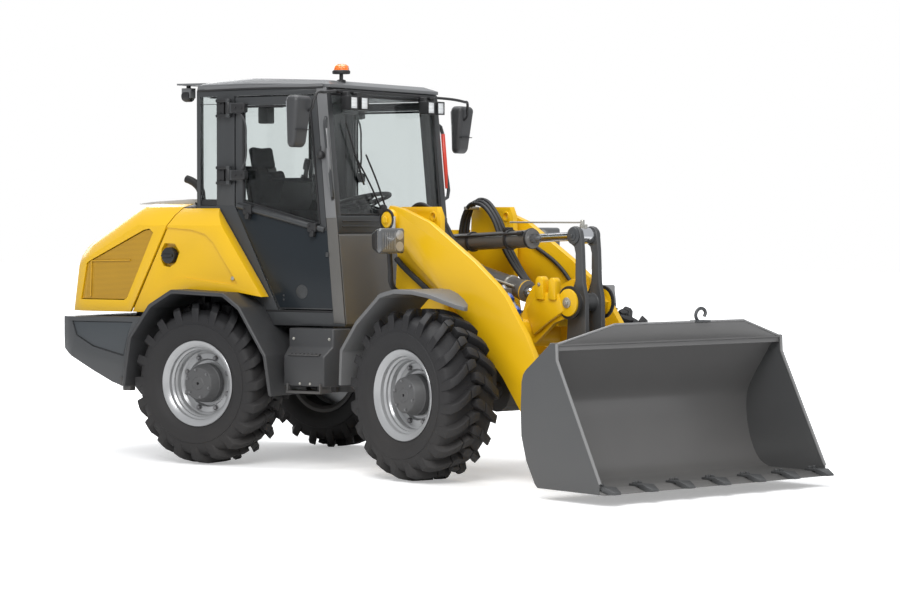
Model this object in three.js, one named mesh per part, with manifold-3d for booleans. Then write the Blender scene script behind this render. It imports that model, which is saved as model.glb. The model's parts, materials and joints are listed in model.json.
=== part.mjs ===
// Compact articulated wheel loader: engine and cab on the rear frame, axle, boom and bucket on the
// front frame, hinged together at one vertical pivot between the axles.
// Millimetres, +X forward along the rear frame, +Y to the driver's left, +Z up.
// The pieces are laid out from the point on the ground under the middle of the rear axle, and the
// front half is laid out straight ahead and then turned about the pivot.
import * as THREE from 'three';
import { mergeVertices } from 'three/addons/utils/BufferGeometryUtils.js';
import { ConvexGeometry } from 'three/addons/geometries/ConvexGeometry.js';
import Module from 'manifold-3d';

const wasm = await Module();
wasm.setup();

// ---------------------------------------------------------------- driving dimensions
const GAP = 0.3;             // between pieces that touch
const RUNNING = 6;           // between pieces that move past each other
const PIN_FIT = 0.5;         // at pins, hubs and rods
const TYRE_RADIUS = 537.5;
const TYRE_WIDTH = 412;
const RIM_RADIUS = 262;
const RIM_WIDTH = 348;
const WHEEL_SIDES = 24;
const TRACK = 1500;
const WHEELBASE = 2165;
const ARTICULATION = 19;     // degrees that the front half stands turned to the right

const AXLE_Z = TYRE_RADIUS;
const PIVOT_X = WHEELBASE / 2;
const PIVOT_PIN_RADIUS = 36;
const PIVOT_SIDES = 32;
const CLEVIS_RADIUS = 95;

const CAB_HALF = 690;        // outside half width of the cab
const WALL = 40;             // cab walls, pillars and doors
const CAB_REAR = -165;
const CAB_FLOOR = 930;
const SILL = 1035;
const BELT = 1722;
const ROOF_UNDER = 2495;
const ROOF_THICK = 78;
const GLASS = 6;

const BODY_HALF = 790;       // hood and side panels
const HOOD_BOTTOM = 1000;
const BODY_TOP = 1735;
const SHOULDER = 145;        // depth of the rounded shoulders
const SHELL = 24;

// boom and linkage points, x and z, with the front half straight
const BOOM_PIVOT = [1450, 1628];
const BUCKET_PIVOT = [3050, 300];
const LEVER_PIVOT = [2850, 1115];
const LEVER_TOP = [2826, 1529];
const LEVER_FOOT = [2800, 630];
const BUCKET_UPPER_PIN = [3165, 355];
const LIFT_BASE = [1560, 1330];
const LIFT_EYE = [2480, 1132];
const TILT_BASE = [1290, 1465];
const STEER_BASE = [470, -145];
const STEER_EYE = [1420, -290];
const ARM_INNER = 398;
const ARM_THICK = 42;
const TOWER_INNER = 292;
const TOWER_THICK = 38;
const CHEEK_INNER = 102;      // cheeks of the boom's nose
const LEVER_INNER = 52;      // plates of the tilt lever
const BUCKET_HALF = 950;

// ---------------------------------------------------------------- materials
const paint = (color, roughness = 0.4, metalness = 0.1) =>
  new THREE.MeshStandardMaterial({ color, roughness, metalness });
const YELLOW = () => paint(0xf0b500);
const DARK = () => paint(0x3b3e40, 0.55);
const BLACK = () => paint(0x1c1d1e, 0.6);
const STEEL = () => paint(0x55585a, 0.5, 0.4);
const SILVER = () => paint(0xc9ccce, 0.35, 0.5);
const RUBBER = () => paint(0x252627, 0.85, 0);
const CHROME = () => paint(0xd8dadc, 0.12, 1);
const CLOTH = () => paint(0x2a2c2f, 0.9, 0);
const AMBER = () => paint(0xff8a10, 0.3, 0);
const CLEAR = () => {
  const glass = paint(0xc6d2d0, 0.05, 0);
  glass.transparent = true;
  glass.opacity = 0.35;
  return glass;
};

// ---------------------------------------------------------------- solids from three.js geometry
function solid(geometry) {
  geometry.deleteAttribute('normal');
  geometry.deleteAttribute('uv');
  const merged = mergeVertices(geometry, 1e-3);
  return new wasm.Manifold(new wasm.Mesh({
    numProp: 3,
    vertProperties: merged.attributes.position.array,
    triVerts: Uint32Array.from(merged.index.array),
  }));
}

const join = (...pieces) => pieces.flat().reduce((whole, piece) => whole.add(piece));
const cut = (whole, ...tools) => tools.flat().reduce((rest, tool) => rest.subtract(tool), whole);

// A prism of an outline: 'y' extrudes an (x, z) outline, 'x' a (y, z) one and 'z' an (x, y) one.
function prism(along, outline, low, high) {
  const shape = new THREE.Shape(outline.map(([u, v]) => new THREE.Vector2(u, v)));
  const geometry = new THREE.ExtrudeGeometry(shape, { depth: high - low, bevelEnabled: false });
  if (along === 'y') geometry.rotateX(Math.PI / 2).translate(0, high, 0);
  if (along === 'z') geometry.translate(0, 0, low);
  if (along === 'x') {
    const turn = new THREE.Matrix4().makeBasis(
      new THREE.Vector3(0, 1, 0), new THREE.Vector3(0, 0, 1), new THREE.Vector3(1, 0, 0));
    geometry.applyMatrix4(turn).translate(low, 0, 0);
  }
  return solid(geometry);
}

function block(x0, x1, y0, y1, z0, z1) {
  const geometry = new THREE.BoxGeometry(x1 - x0, y1 - y0, z1 - z0);
  return solid(geometry.translate((x0 + x1) / 2, (y0 + y1) / 2, (z0 + z1) / 2));
}

// A round bar from one point to another.
function bar(from, to, radius, sides = 16) {
  const a = new THREE.Vector3(...from);
  const b = new THREE.Vector3(...to);
  const geometry = new THREE.CylinderGeometry(radius, radius, a.distanceTo(b), sides);
  const direction = b.clone().sub(a).normalize();
  geometry.applyQuaternion(new THREE.Quaternion().setFromUnitVectors(
    new THREE.Vector3(0, 1, 0), direction));
  const middle = a.add(b).multiplyScalar(0.5);
  return solid(geometry.translate(middle.x, middle.y, middle.z));
}

// A disc or boss on a crosswise axis at an (x, z) point.
const boss = ([x, z], y0, y1, radius, sides = 16) => bar([x, y0, z], [x, y1, z], radius, sides);

// A bent round rail through its points.
function rail(points, radius, steps = 24, sides = 8) {
  const ring = Array.from({ length: sides }, (_, i) => {
    const angle = (2 * Math.PI * i) / sides;
    return new THREE.Vector2(radius * Math.cos(angle), radius * Math.sin(angle));
  });
  const path = new THREE.CatmullRomCurve3(
    points.map((p) => new THREE.Vector3(...p)), false, 'centripetal');
  return solid(new THREE.ExtrudeGeometry(
    new THREE.Shape(ring), { extrudePath: path, steps, bevelEnabled: false }));
}

const hull = (points) =>
  solid(new ConvexGeometry(points.map((p) => new THREE.Vector3(...p))));

// A turned solid on the Y axis, from (radius, y) points that run outside from its +Y end.
const turned = (points, sides) =>
  solid(new THREE.LatheGeometry(points.map(([r, y]) => new THREE.Vector2(r, y)).reverse(), sides));

const mirrored = (piece) => piece.mirror([0, 1, 0]);
const bothSides = (piece) => join(piece, mirrored(piece));
const scaledAbout = (outline, [cx, cz], factor) =>
  outline.map(([x, z]) => [cx + (x - cx) * factor, cz + (z - cz) * factor]);

function mesh(name, piece, material) {
  const { vertProperties, triVerts } = piece.getMesh();
  const geometry = new THREE.BufferGeometry();
  geometry.setAttribute('position', new THREE.BufferAttribute(vertProperties, 3));
  geometry.setIndex(new THREE.BufferAttribute(triVerts, 1));
  const made = new THREE.Mesh(geometry, material);
  made.name = name;
  return made;
}

// ---------------------------------------------------------------- wheels
const BEAD_HALF = RIM_WIDTH / 2 - 14;

function tyre() {
  const half = TYRE_WIDTH / 2;
  const side = [
    [RIM_RADIUS, BEAD_HALF], [RIM_RADIUS + 28, BEAD_HALF + 2], [RIM_RADIUS + 50, half - 18],
    [RIM_RADIUS + 120, half], [TYRE_RADIUS - 60, half - 4], [TYRE_RADIUS - 18, half - 16],
    [TYRE_RADIUS, half - 40],
  ];
  const outline = [...side, ...side.slice().reverse().map(([r, y]) => [r, -y])];
  return turned([...outline, outline[0]], WHEEL_SIDES);
}

// Deep-dished disc wheel with the axle's planetary hub in its middle, its outside towards +Y.
function rim() {
  const edge = RIM_WIDTH / 2;
  const seat = RIM_RADIUS - GAP;
  return turned([
    [0, 98], [92, 98], [122, 84], [130, 42], [205, 42], [226, 60], [234, edge - 34],
    [RIM_RADIUS - 6, edge], [RIM_RADIUS + 22, edge], [RIM_RADIUS + 22, BEAD_HALF + 3],
    [seat, BEAD_HALF + 1], [seat, -BEAD_HALF - 1], [RIM_RADIUS + 22, -BEAD_HALF - 3],
    [RIM_RADIUS + 22, -edge], [RIM_RADIUS - 6, -edge], [240, -edge + 24], [236, -30], [222, 22],
    [150, 22], [142, -40], [0, -40],
  ], WHEEL_SIDES);
}

function wheel(end, side) {
  const group = new THREE.Group();
  group.position.set(end === 'front' ? WHEELBASE : 0, side * TRACK / 2, AXLE_Z);
  if (side < 0) group.rotation.z = Math.PI;
  const name = `${side < 0 ? 'right' : 'left'}_${end}`;
  group.add(mesh(`${name}_tyre`, tyre(), RUBBER()), mesh(`${name}_rim`, rim(), SILVER()));
  return group;
}

const HUB_FACE = TRACK / 2 - 40 - PIN_FIT;   // where an axle ends at its wheel hub

// A driven axle: differential housing, tubes and hub ends, with pads up to the frame.
function axle(x, padTop) {
  return join(
    bar([x, -HUB_FACE, AXLE_Z], [x, HUB_FACE, AXLE_Z], 62, 16),
    bar([x, -150, AXLE_Z], [x, 150, AXLE_Z], 138, 16),
    bothSides(bar([x, HUB_FACE - 70, AXLE_Z], [x, HUB_FACE, AXLE_Z], 118, 16)),
    bothSides(block(x - 90, x + 90, 225, 330, AXLE_Z - 40, padTop - GAP)));
}

// ---------------------------------------------------------------- rear half: frame and masses
const FRAME_LOW = 640;
const SADDLE_LOW = 624;         // beams over the rear axle's pads
const FRAME_TOP = 860;
const FORK = { topLow: 800, topHigh: 838, lowLow: 470, lowHigh: 508 };
const BEAM_OUTER = 340;
const BEAM_INNER = 300;

// Outline of a clevis plate in plan: from a wide root to a round end about the pivot.
function clevisPlate(rootX, rootHalf, towards) {
  const points = [[rootX, -rootHalf], [rootX, rootHalf]];
  for (let i = 0; i <= 12; i += 1) {
    const angle = towards * (Math.PI / 2 - (Math.PI * i) / 12);
    const x = PIVOT_X + towards * CLEVIS_RADIUS * Math.cos(angle);
    points.push([x, CLEVIS_RADIUS * Math.sin(towards * angle)]);
  }
  return points;
}

// One flat ear of the pair that holds an end of the steering cylinder, above or below it.
const STEER_Z = 610;
const EAR_INNER = 37;
const EAR_OUTER = 62;

function steeringEar(x, y0, y1, above) {
  const [z0, z1] = above > 0 ? [EAR_INNER, EAR_OUTER] : [-EAR_OUTER, -EAR_INNER];
  return block(x - 50, x + 45, y0, y1, STEER_Z + z0, STEER_Z + z1);
}

function rearFrame() {
  const saddle = [[-110, FRAME_LOW], [-100, SADDLE_LOW], [100, SADDLE_LOW], [110, FRAME_LOW]];
  const beam = prism('y', [[-1080, FRAME_LOW], ...saddle, [520, FRAME_LOW], [590, FORK.lowLow],
    [720, FORK.lowLow], [720, FORK.topHigh], [560, FRAME_TOP], [-1080, FRAME_TOP]],
  BEAM_INNER, BEAM_OUTER);
  const forkTop = prism('z', clevisPlate(560, BEAM_OUTER, 1), FORK.topLow, FORK.topHigh);
  const forkLow = prism('z', clevisPlate(590, BEAM_OUTER, 1), FORK.lowLow, FORK.lowHigh);
  const pin = bar([PIVOT_X, 0, FORK.lowLow - 20], [PIVOT_X, 0, FORK.topHigh + 20],
    PIVOT_PIN_RADIUS, PIVOT_SIDES);
  const cross = [[-1080, -1040], [-250, -210], [480, 520]].map(([x0, x1]) =>
    block(x0, x1, -BEAM_OUTER, BEAM_OUTER, FRAME_LOW + 20, FRAME_TOP - 20));
  const outriggers = [[60, 140, 480], [820, 900, 640]].map(([x0, x1, half]) =>
    block(x0, x1, -half, half, FORK.topHigh - 10, CAB_FLOOR - GAP));
  const [steerX, steerY] = STEER_BASE;
  const steerEars = [-1, 1].map((s) => steeringEar(steerX, -BEAM_INNER - 10, steerY + 45, s));
  const earPlate = block(steerX - 50, steerX + 45, -BEAM_OUTER, -BEAM_INNER,
    STEER_Z - EAR_OUTER, STEER_Z + EAR_OUTER);
  return join(bothSides(beam), forkTop, forkLow, pin, ...cross, ...outriggers, ...steerEars, earPlate);
}

// Cast tail weight that closes the machine's rear, open in the middle for the cooling air.
function counterweight() {
  const outline = [[-1236, 962], [-482, 972], [-500, 880], [-552, 820], [-598, 620], [-622, 490],
    [-738, 525], [-900, 598], [-1130, 712], [-1216, 770], [-1262, 862]];
  const full = prism('y', outline, -890, 890);
  const plan = prism('z', [[-1264, -690], [-1246, -775], [-1176, -855], [-1085, -892], [-400, -892],
    [-400, 892], [-1085, 892], [-1176, 855], [-1246, 775], [-1264, 690]], 400, 1000);
  const framePocket = block(-1080 - GAP, 0, -BEAM_OUTER - GAP, BEAM_OUTER + GAP, 400, 1100);
  const sideRecess = prism('y', [[-1085, 935], [-560, 938], [-600, 860], [-640, 700], [-900, 760],
    [-1050, 835]], 874, 900);
  return cut(full.intersect(plan), bothSides(rearArchVoid(500)), framePocket, bothSides(sideRecess));
}

// Diesel engine with its cooler, as one plain block on the frame beams.
const engineBlock = () => join(
  block(-1000, -330, -280, 280, FRAME_LOW + 20, 1370),
  block(-930, -850, -BEAM_OUTER, BEAM_OUTER, FRAME_TOP + GAP, FRAME_TOP + 30),
  block(-460, -380, -BEAM_OUTER, BEAM_OUTER, FRAME_TOP + GAP, FRAME_TOP + 30));

// ---------------------------------------------------------------- rear half: bodywork
const REAR_ARCH = [[-600, 500], [-585, 620], [-548, 840], [-375, 1060], [-190, 1162], [245, 1145],
  [378, 1055], [588, 740], [632, 473]];
const FENDER_THICK = 26;
const FENDER_OUTER = TRACK / 2 + TYRE_WIDTH / 2 + 8;
const ARCH_FIT = 1 + GAP / 540;   // bodywork arches seat on the fender

// A wheel arch: a bent band over the wheel, from its outline and the outline scaled towards the axle.
function fender(arch, centre, y0, y1) {
  const radius = Math.hypot(arch[1][0] - centre[0], arch[1][1] - centre[1]);
  const inner = scaledAbout(arch, centre, 1 - FENDER_THICK / radius);
  return prism('y', [...arch, ...inner.reverse()], y0, y1);
}

const rearFender = () => fender(REAR_ARCH, [0, AXLE_Z], 540, FENDER_OUTER);

// The space that the rear wheel and its fender take out of the bodywork, outwards from y.
const rearArchVoid = (y) => prism('y', scaledAbout(REAR_ARCH, [0, AXLE_Z], ARCH_FIT), y, 1000);

// The outside of the hood and side panels together: sections whose shoulders round over to the top.
function bodyEnvelope(inset) {
  const stations = [[-1140, 1456, 740], [-1010, 1522, BODY_HALF], [-592, BODY_TOP, BODY_HALF],
    [20, BODY_TOP, BODY_HALF]];
  const points = stations.flatMap(([x, top, half]) => {
    const w = half - inset;
    const z = top - inset;
    const rear = x < -1000 ? inset : 0;
    return [[w - 190, z], [w - 95, z - 22], [w - 38, z - 75], [w, z - SHOULDER]].flatMap(([y, h]) =>
      [[x + rear, y, h], [x + rear, -y, h]]);
  });
  for (const side of [-1, 1]) {
    points.push([-1190 + inset, side * (735 - inset), HOOD_BOTTOM],
      [-1060, side * (BODY_HALF - inset), HOOD_BOTTOM], [600, side * (BODY_HALF - inset), HOOD_BOTTOM],
      [600, side * (BODY_HALF - inset), BODY_TOP - SHOULDER - inset],
      [600, side * (600 - inset), BODY_TOP - inset]);
  }
  return hull(points);
}

// Between hood and side panels, seen from a side.
const SEAM = [[-655, HOOD_BOTTOM], [-343, 1591], [-238, 1760]];
const HOOD_HINGE = [-236, 1721];
const HOOD_KNUCKLE = 9;

function hood() {
  const shell = cut(bodyEnvelope(0), bodyEnvelope(SHELL));
  const rearPart = prism('y', [[-1300, HOOD_BOTTOM], ...SEAM.map(([x, z]) => [x - 5, z]), [-1300, 1760]],
    -900, 900);
  const [x, z] = HOOD_HINGE;
  const knuckle = join(boss(HOOD_HINGE, 380, 420, HOOD_KNUCKLE, 12),
    block(x - 40, x, 380, 420, z - HOOD_KNUCKLE, z));
  return join(shell.intersect(rearPart), bothSides(knuckle));
}

const DOOR_EDGE = [[160, 2452], [152, 1735], [500, SILL + 8]];   // rear edge of the door opening
const PANEL_FRONT = [[20, 1760], [38, 1691], [434, 1117]];

function sidePanel() {
  const arch = scaledAbout(REAR_ARCH, [0, AXLE_Z], ARCH_FIT);
  const overWheel = arch.filter(([x, z]) => z > HOOD_BOTTOM + 30 && x < PANEL_FRONT[2][0] - 100);
  const outline = [...SEAM.map(([x, z]) => [x + 5, z]), ...PANEL_FRONT, ...overWheel.reverse(),
    [-470, HOOD_BOTTOM]];
  const slice = prism('y', outline, CAB_HALF + 14, 900);
  return bodyEnvelope(0).intersect(slice);
}

// Fixed dark panel between the hood and the cab.
function cowl() {
  const [, , top] = SEAM;
  const across = prism('y', [[top[0] - 10, BODY_TOP], [top[0] - 26, 1706], [CAB_REAR - GAP, 1706],
    [CAB_REAR - GAP, BODY_TOP]], -CAB_HALF - 14 + GAP, CAB_HALF + 14 - GAP);
  const wall = join(block(-240, -220, -530, 530, FRAME_TOP + GAP, 1710),
    block(-240, -220, -640, 640, 1180, 1710));
  const [x, z] = HOOD_HINGE;
  const knuckle = join(boss(HOOD_HINGE, 420 + GAP, 460, HOOD_KNUCKLE, 12),
    block(x, x + 30, 420 + GAP, 460, z - HOOD_KNUCKLE, z));
  const panel = bodyEnvelope(0).intersect(join(across, wall));
  const notch = block(x - 30, x + 16, 374, 420 + GAP, z - 30, z + 20);
  return join(cut(panel, bothSides(notch)), bothSides(knuckle));
}

const EXHAUST = [-202, -590];
const exhaust = () => rail([[EXHAUST[0], EXHAUST[1], BODY_TOP + GAP], [EXHAUST[0], EXHAUST[1], 1805],
  [EXHAUST[0] - 60, EXHAUST[1], 1880], [EXHAUST[0] - 125, EXHAUST[1], 1905]], 30, 10, 8);

// Step box beside the pivot, stepped in above its tread and cut back to clear the turning front wheel.
function stepBox() {
  const plan = prism('z', [[660, BEAM_OUTER + GAP], [800, BEAM_OUTER + GAP], [860, 470], [1010, 470],
    [1060, 560], [1050, 720], [975, 862], [660, 862]], 540, CAB_FLOOR - 12);
  const inner = BEAM_OUTER + GAP;
  const under = FORK.topHigh - 12;
  const profile = prism('x', [[inner, 540], [862, 540], [862, 738], [800, 800], [800, CAB_FLOOR],
    [650, CAB_FLOOR], [650, under], [inner, under]], 600, 1100);
  return plan.intersect(profile);
}

// ---------------------------------------------------------------- cab
const HOUSING_INNER = 500;                 // inside of the wheel housings in the cab
const FRONT_FOOT = [1030, CAB_FLOOR];      // front face of the cab at floor level
const FRONT_HEAD = [884, ROOF_UNDER];      // and under the roof
const frontX = (z) => FRONT_FOOT[0]
  + ((FRONT_HEAD[0] - FRONT_FOOT[0]) * (z - FRONT_FOOT[1])) / (FRONT_HEAD[1] - FRONT_FOOT[1]);

// Floor, front wall, rear wall and the low side walls behind the doors.
function cabTub() {
  const inside = CAB_HALF - WALL;
  const floor = block(CAB_REAR, frontX(CAB_FLOOR), -CAB_HALF, CAB_HALF, CAB_FLOOR, CAB_FLOOR + 50);
  const front = prism('y', [[frontX(CAB_FLOOR) - WALL, CAB_FLOOR], [frontX(CAB_FLOOR), CAB_FLOOR],
    [frontX(1655), 1655], [frontX(1655) - WALL, 1655]], -CAB_HALF, CAB_HALF);
  const rear = block(CAB_REAR, CAB_REAR + WALL, -CAB_HALF, CAB_HALF, CAB_FLOOR, BELT);
  const sideWall = prism('y', [[CAB_REAR, CAB_FLOOR], [520, CAB_FLOOR], [498, SILL - 5],
    [DOOR_EDGE[1][0] - RUNNING, BELT], [CAB_REAR, BELT]], inside, CAB_HALF);
  const sill = block(400, frontX(SILL) - 10, inside, CAB_HALF, CAB_FLOOR, SILL - RUNNING);
  const above = block(CAB_REAR, 700, 0, CAB_HALF, CAB_FLOOR, BELT);
  const housing = cut(
    prism('y', scaledAbout(REAR_ARCH, [0, AXLE_Z], 1.05), HOUSING_INNER, CAB_HALF),
    prism('y', scaledAbout(REAR_ARCH, [0, AXLE_Z], ARCH_FIT), HOUSING_INNER + 34, CAB_HALF + 1));
  const shell = join(floor, front, rear, bothSides(sideWall), bothSides(sill));
  return join(cut(shell, bothSides(rearArchVoid(HOUSING_INNER + 34))),
    bothSides(housing.intersect(above)));
}

const DOOR_HINGE = [118, 722];
const HINGE_Z = [2372, 1925];

// Pillars and the head frame, standing on the tub.
function cabFrame() {
  const inside = CAB_HALF - WALL;
  const low = BELT + GAP;
  const rearPillar = block(CAB_REAR, CAB_REAR + 28, inside, CAB_HALF, low, ROOF_UNDER);
  const midPillar = block(0, DOOR_EDGE[1][0] - RUNNING, inside, CAB_HALF, low, ROOF_UNDER);
  const frontPillar = prism('y', [[frontX(1655) - 78, 1655 + GAP], [frontX(1655), 1655 + GAP],
    [frontX(ROOF_UNDER), ROOF_UNDER], [frontX(ROOF_UNDER) - 78, ROOF_UNDER]], inside - 15, CAB_HALF);
  const head = cut(
    block(CAB_REAR, frontX(ROOF_UNDER) - 1, -CAB_HALF, CAB_HALF, ROOF_UNDER - 42, ROOF_UNDER),
    block(CAB_REAR + 50, frontX(ROOF_UNDER) - 60, -inside, inside, 2400, 2600));
  const grabRail = rail([[frontX(2300) - 20, CAB_HALF - 4, 2300], [frontX(2280) - 6, CAB_HALF + 36, 2270],
    [frontX(2000), CAB_HALF + 40, 2000], [frontX(1790) + 6, CAB_HALF + 36, 1790],
    [frontX(1760) - 20, CAB_HALF - 4, 1760]], 13, 12, 6);
  const hingeEars = HINGE_Z.flatMap((z) => [[z + 40 + GAP, z + 62], [z - 62, z - 40 - GAP]]).map(
    ([z0, z1]) => join(bar([DOOR_HINGE[0], DOOR_HINGE[1], z0], [DOOR_HINGE[0], DOOR_HINGE[1], z1], 17, 8),
      block(50, DOOR_HINGE[0], CAB_HALF - 2, DOOR_HINGE[1] + 8, z0, z1)));
  return join(bothSides(join(rearPillar, midPillar, frontPillar, grabRail, ...hingeEars)), head);
}

function cabRoof() {
  const low = ROOF_UNDER + GAP;
  const top = ROOF_UNDER + ROOF_THICK;
  const cap = hull([
    ...[-1, 1].flatMap((s) => [
      [CAB_REAR, s * CAB_HALF, low], [CAB_REAR + 12, s * CAB_HALF, low + 36],
      [CAB_REAR + 90, s * (CAB_HALF - 70), top - 14], [260, s * (CAB_HALF - 90), top],
      [830, s * (CAB_HALF - 80), low + 52], [905, s * (CAB_HALF - 12), low + 22],
      [905, s * (CAB_HALF - 12), low], [250, s * CAB_HALF, low + 40]])]);
  const visor = prism('y', [[CAB_REAR - 235, low + 46], [CAB_REAR + 60, low + 40],
    [CAB_REAR + 60, low + 56], [CAB_REAR - 235, low + 58]], -600, 600);
  const lamp = join(block(CAB_REAR - 225, CAB_REAR - 150, -560, -500, low - 40, low + 28),
    block(CAB_REAR - 200, CAB_REAR - 180, -540, -520, low + 20, low + 50));
  return join(cap, visor, lamp);
}

function windshield() {
  const low = 1655 + GAP;
  const high = ROOF_UNDER - 42 - GAP;
  const half = CAB_HALF - WALL - 15 - GAP;
  return prism('y', [[frontX(low) - 16 - GLASS, low], [frontX(low) - 16, low],
    [frontX(high) - 16, high], [frontX(high) - 16 - GLASS, high]], -half, half);
}

// Rear and quarter glass: one bent pane behind the driver, butting against the pillars.
function rearGlass() {
  const low = BELT + GAP;
  const high = ROOF_UNDER - 42 - GAP;
  const half = CAB_HALF - WALL - GAP;
  return block(CAB_REAR + 4, CAB_REAR + 4 + GLASS, -half, half, low, high);
}
const quarterGlass = () => block(CAB_REAR + 28 + GAP, -GAP, CAB_HALF - 16, CAB_HALF - 16 + GLASS,
  BELT + GAP, ROOF_UNDER - 42 - GAP);

// ---------------------------------------------------------------- doors
const DOOR_TOP = 2450 - RUNNING;

function doorOutline(inset) {
  return [
    [DOOR_EDGE[1][0] + 4 + inset, DOOR_TOP - inset], [DOOR_EDGE[1][0] + 4 + inset, BELT + 4],
    [508 + inset, SILL + 4 + inset], [frontX(SILL) - 88 - inset, SILL + 4 + inset],
    [frontX(1650) - 86 - inset, 1650], [frontX(DOOR_TOP) - 84 - inset, DOOR_TOP - inset]];
}
const DOOR_IN = CAB_HALF - WALL;

function door() {
  const leaf = prism('y', doorOutline(0), DOOR_IN, CAB_HALF);
  const window = prism('y', [[DOOR_EDGE[1][0] + 60, DOOR_TOP - 55],
    [DOOR_EDGE[1][0] + 60, 1745], [frontX(1600) - 86 - 42, 1595],
    [frontX(DOOR_TOP) - 84 - 42, DOOR_TOP - 55]], 0, 900);
  const hinges = HINGE_Z.map((z) => join(
    bar([DOOR_HINGE[0], DOOR_HINGE[1], z - 40], [DOOR_HINGE[0], DOOR_HINGE[1], z + 40], 17, 12),
    block(DOOR_HINGE[0], 170, CAB_HALF + RUNNING, DOOR_HINGE[1] + 8, z - 34, z + 34),
    block(162, DOOR_EDGE[1][0] + 90, CAB_HALF - 2, DOOR_HINGE[1] + 8, z - 34, z + 34)));
  const belt = bar([175, CAB_HALF + 6, 1722], [frontX(1560) - 96, CAB_HALF + 6, 1560], 20, 12);
  return join(cut(leaf, window), ...hinges, belt);
}

function doorGlass() {
  return prism('y', [[DOOR_EDGE[1][0] + 60 + GAP, DOOR_TOP - 55 - GAP],
    [DOOR_EDGE[1][0] + 60 + GAP, 1745 + 1], [frontX(1600) - 86 - 42 - 1, 1595 + 1],
    [frontX(DOOR_TOP) - 84 - 42 - 1, DOOR_TOP - 55 - GAP]], CAB_HALF - 22, CAB_HALF - 22 + GLASS);
}

// ---------------------------------------------------------------- inside the cab
const SEAT_X = 190;
const SEAT_Z = 1440;
const floorTop = CAB_FLOOR + 50;

const seatBase = () => join(
  block(SEAT_X - 170, SEAT_X + 180, -190, 190, floorTop + GAP, SEAT_Z - GAP),
  block(SEAT_X - 60, SEAT_X + 100, -330, -188, 1250, 1330),
  block(SEAT_X - 60, SEAT_X + 20, -330, -250, 1320, 1700),
  prism('y', [[SEAT_X - 60, 1690], [SEAT_X + 330, 1690], [SEAT_X + 360, 1760], [SEAT_X + 340, 1880],
    [SEAT_X + 130, 1890], [SEAT_X + 90, 1740], [SEAT_X - 60, 1740]], -360, -260),
  bar([SEAT_X + 270, -310, 1880], [SEAT_X + 285, -310, 2010], 14, 8));

function seat() {
  const cushion = hull([...[-1, 1].flatMap((s) => [[SEAT_X - 190, s * 235, SEAT_Z],
    [SEAT_X + 270, s * 225, SEAT_Z], [SEAT_X + 300, s * 225, SEAT_Z + 70],
    [SEAT_X + 240, s * 235, SEAT_Z + 130], [SEAT_X - 190, s * 240, SEAT_Z + 110]])]);
  const back = hull([...[-1, 1].flatMap((s) => [[SEAT_X - 200, s * 225, SEAT_Z + 20],
    [SEAT_X - 70, s * 225, SEAT_Z + 60], [SEAT_X - 250, s * 190, SEAT_Z + 640],
    [SEAT_X - 160, s * 190, SEAT_Z + 640], [SEAT_X - 120, s * 220, SEAT_Z + 460],
    [SEAT_X - 240, s * 220, SEAT_Z + 460]])]);
  return join(cushion, back);
}

function steeringColumn() {
  const foot = [905, 0, floorTop + 20];
  const head = [720, 0, 1760];
  const ringCentre = new THREE.Vector3(...head);
  const ring = new THREE.TorusGeometry(185, 15, 6, 18);
  ring.applyQuaternion(new THREE.Quaternion().setFromUnitVectors(new THREE.Vector3(0, 0, 1),
    new THREE.Vector3(head[0] - foot[0], 0, head[2] - foot[2]).normalize()));
  ring.translate(ringCentre.x, ringCentre.y, ringCentre.z);
  const spokes = [0, 2.1, 4.2].map((a) =>
    bar(head, [head[0] + 178 * Math.cos(a), 178 * Math.sin(a), head[2] + 43 * Math.cos(a)], 11, 6));
  const basePlate = block(840, 955, -80, 80, floorTop + GAP, floorTop + 26);
  return join(basePlate, bar(foot, [735, 0, 1700], 55, 12), bar([735, 0, 1700], [716, 0, 1775], 42, 12),
    solid(ring), ...spokes);
}

// ---------------------------------------------------------------- on the outside of the cab
function mirror() {
  const x = LIGHT_BAR_X + 11;
  const arm = rail([[x, 600 + GAP, 2473], [x, 640, 2473], [x + 60, 730, 2466], [998, 880, 2452],
    [985, 940, 2446], [972, 962, 2400], [965, 972, 2330], [930, 972, 2300]], 9, 14, 6);
  const head = hull([[840, 925, 2425], [840, 1115, 2425], [840, 940, 2095], [840, 1085, 2095],
    [865, 925, 2430], [865, 1115, 2430], [862, 940, 2090], [862, 1085, 2090],
    [950, 945, 2400], [950, 1095, 2400], [945, 955, 2230], [945, 1085, 2230]]);
  return join(arm, head);
}

// Bar under the roof's front edge that carries the four work lights.
const LIGHT_BAR_X = FRONT_HEAD[0] + 22;

function lightBar() {
  const x = LIGHT_BAR_X;
  const beam = block(x, x + 22, -600, 600, 2462, 2484);
  const lamps = [420, 545].flatMap((y) => [-1, 1].map((s) => join(
    block(x + 30, x + 100, s * y - 45, s * y + 45, 2352, 2440),
    block(x + 2, x + 60, s * y - 12, s * y + 12, 2430, 2470))));
  const stays = [-1, 1].map((s) =>
    block(FRONT_HEAD[0] - 1 + GAP, x + 10, s * 560 - 20, s * 560 + 20, 2462, 2484));
  return join(beam, ...lamps, ...stays);
}

const BEACON = [830, -430];
const beacon = () => join(
  bar([BEACON[0], BEACON[1], ROOF_UNDER + 53], [BEACON[0], BEACON[1], ROOF_UNDER + 104], 14, 10),
  bar([BEACON[0], BEACON[1], ROOF_UNDER + 100], [BEACON[0], BEACON[1], ROOF_UNDER + 124], 58, 16),
  bar([BEACON[0], BEACON[1], ROOF_UNDER + 122], [BEACON[0], BEACON[1], ROOF_UNDER + 165], 50, 16));

// ---------------------------------------------------------------- front half
const FRONT_LOW = 690;
const LIFT_EAR = 68;         // inner faces of the ears at the cylinders' feet
const TILT_EAR = 62;
const BODY_REAR = 1215;

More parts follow.
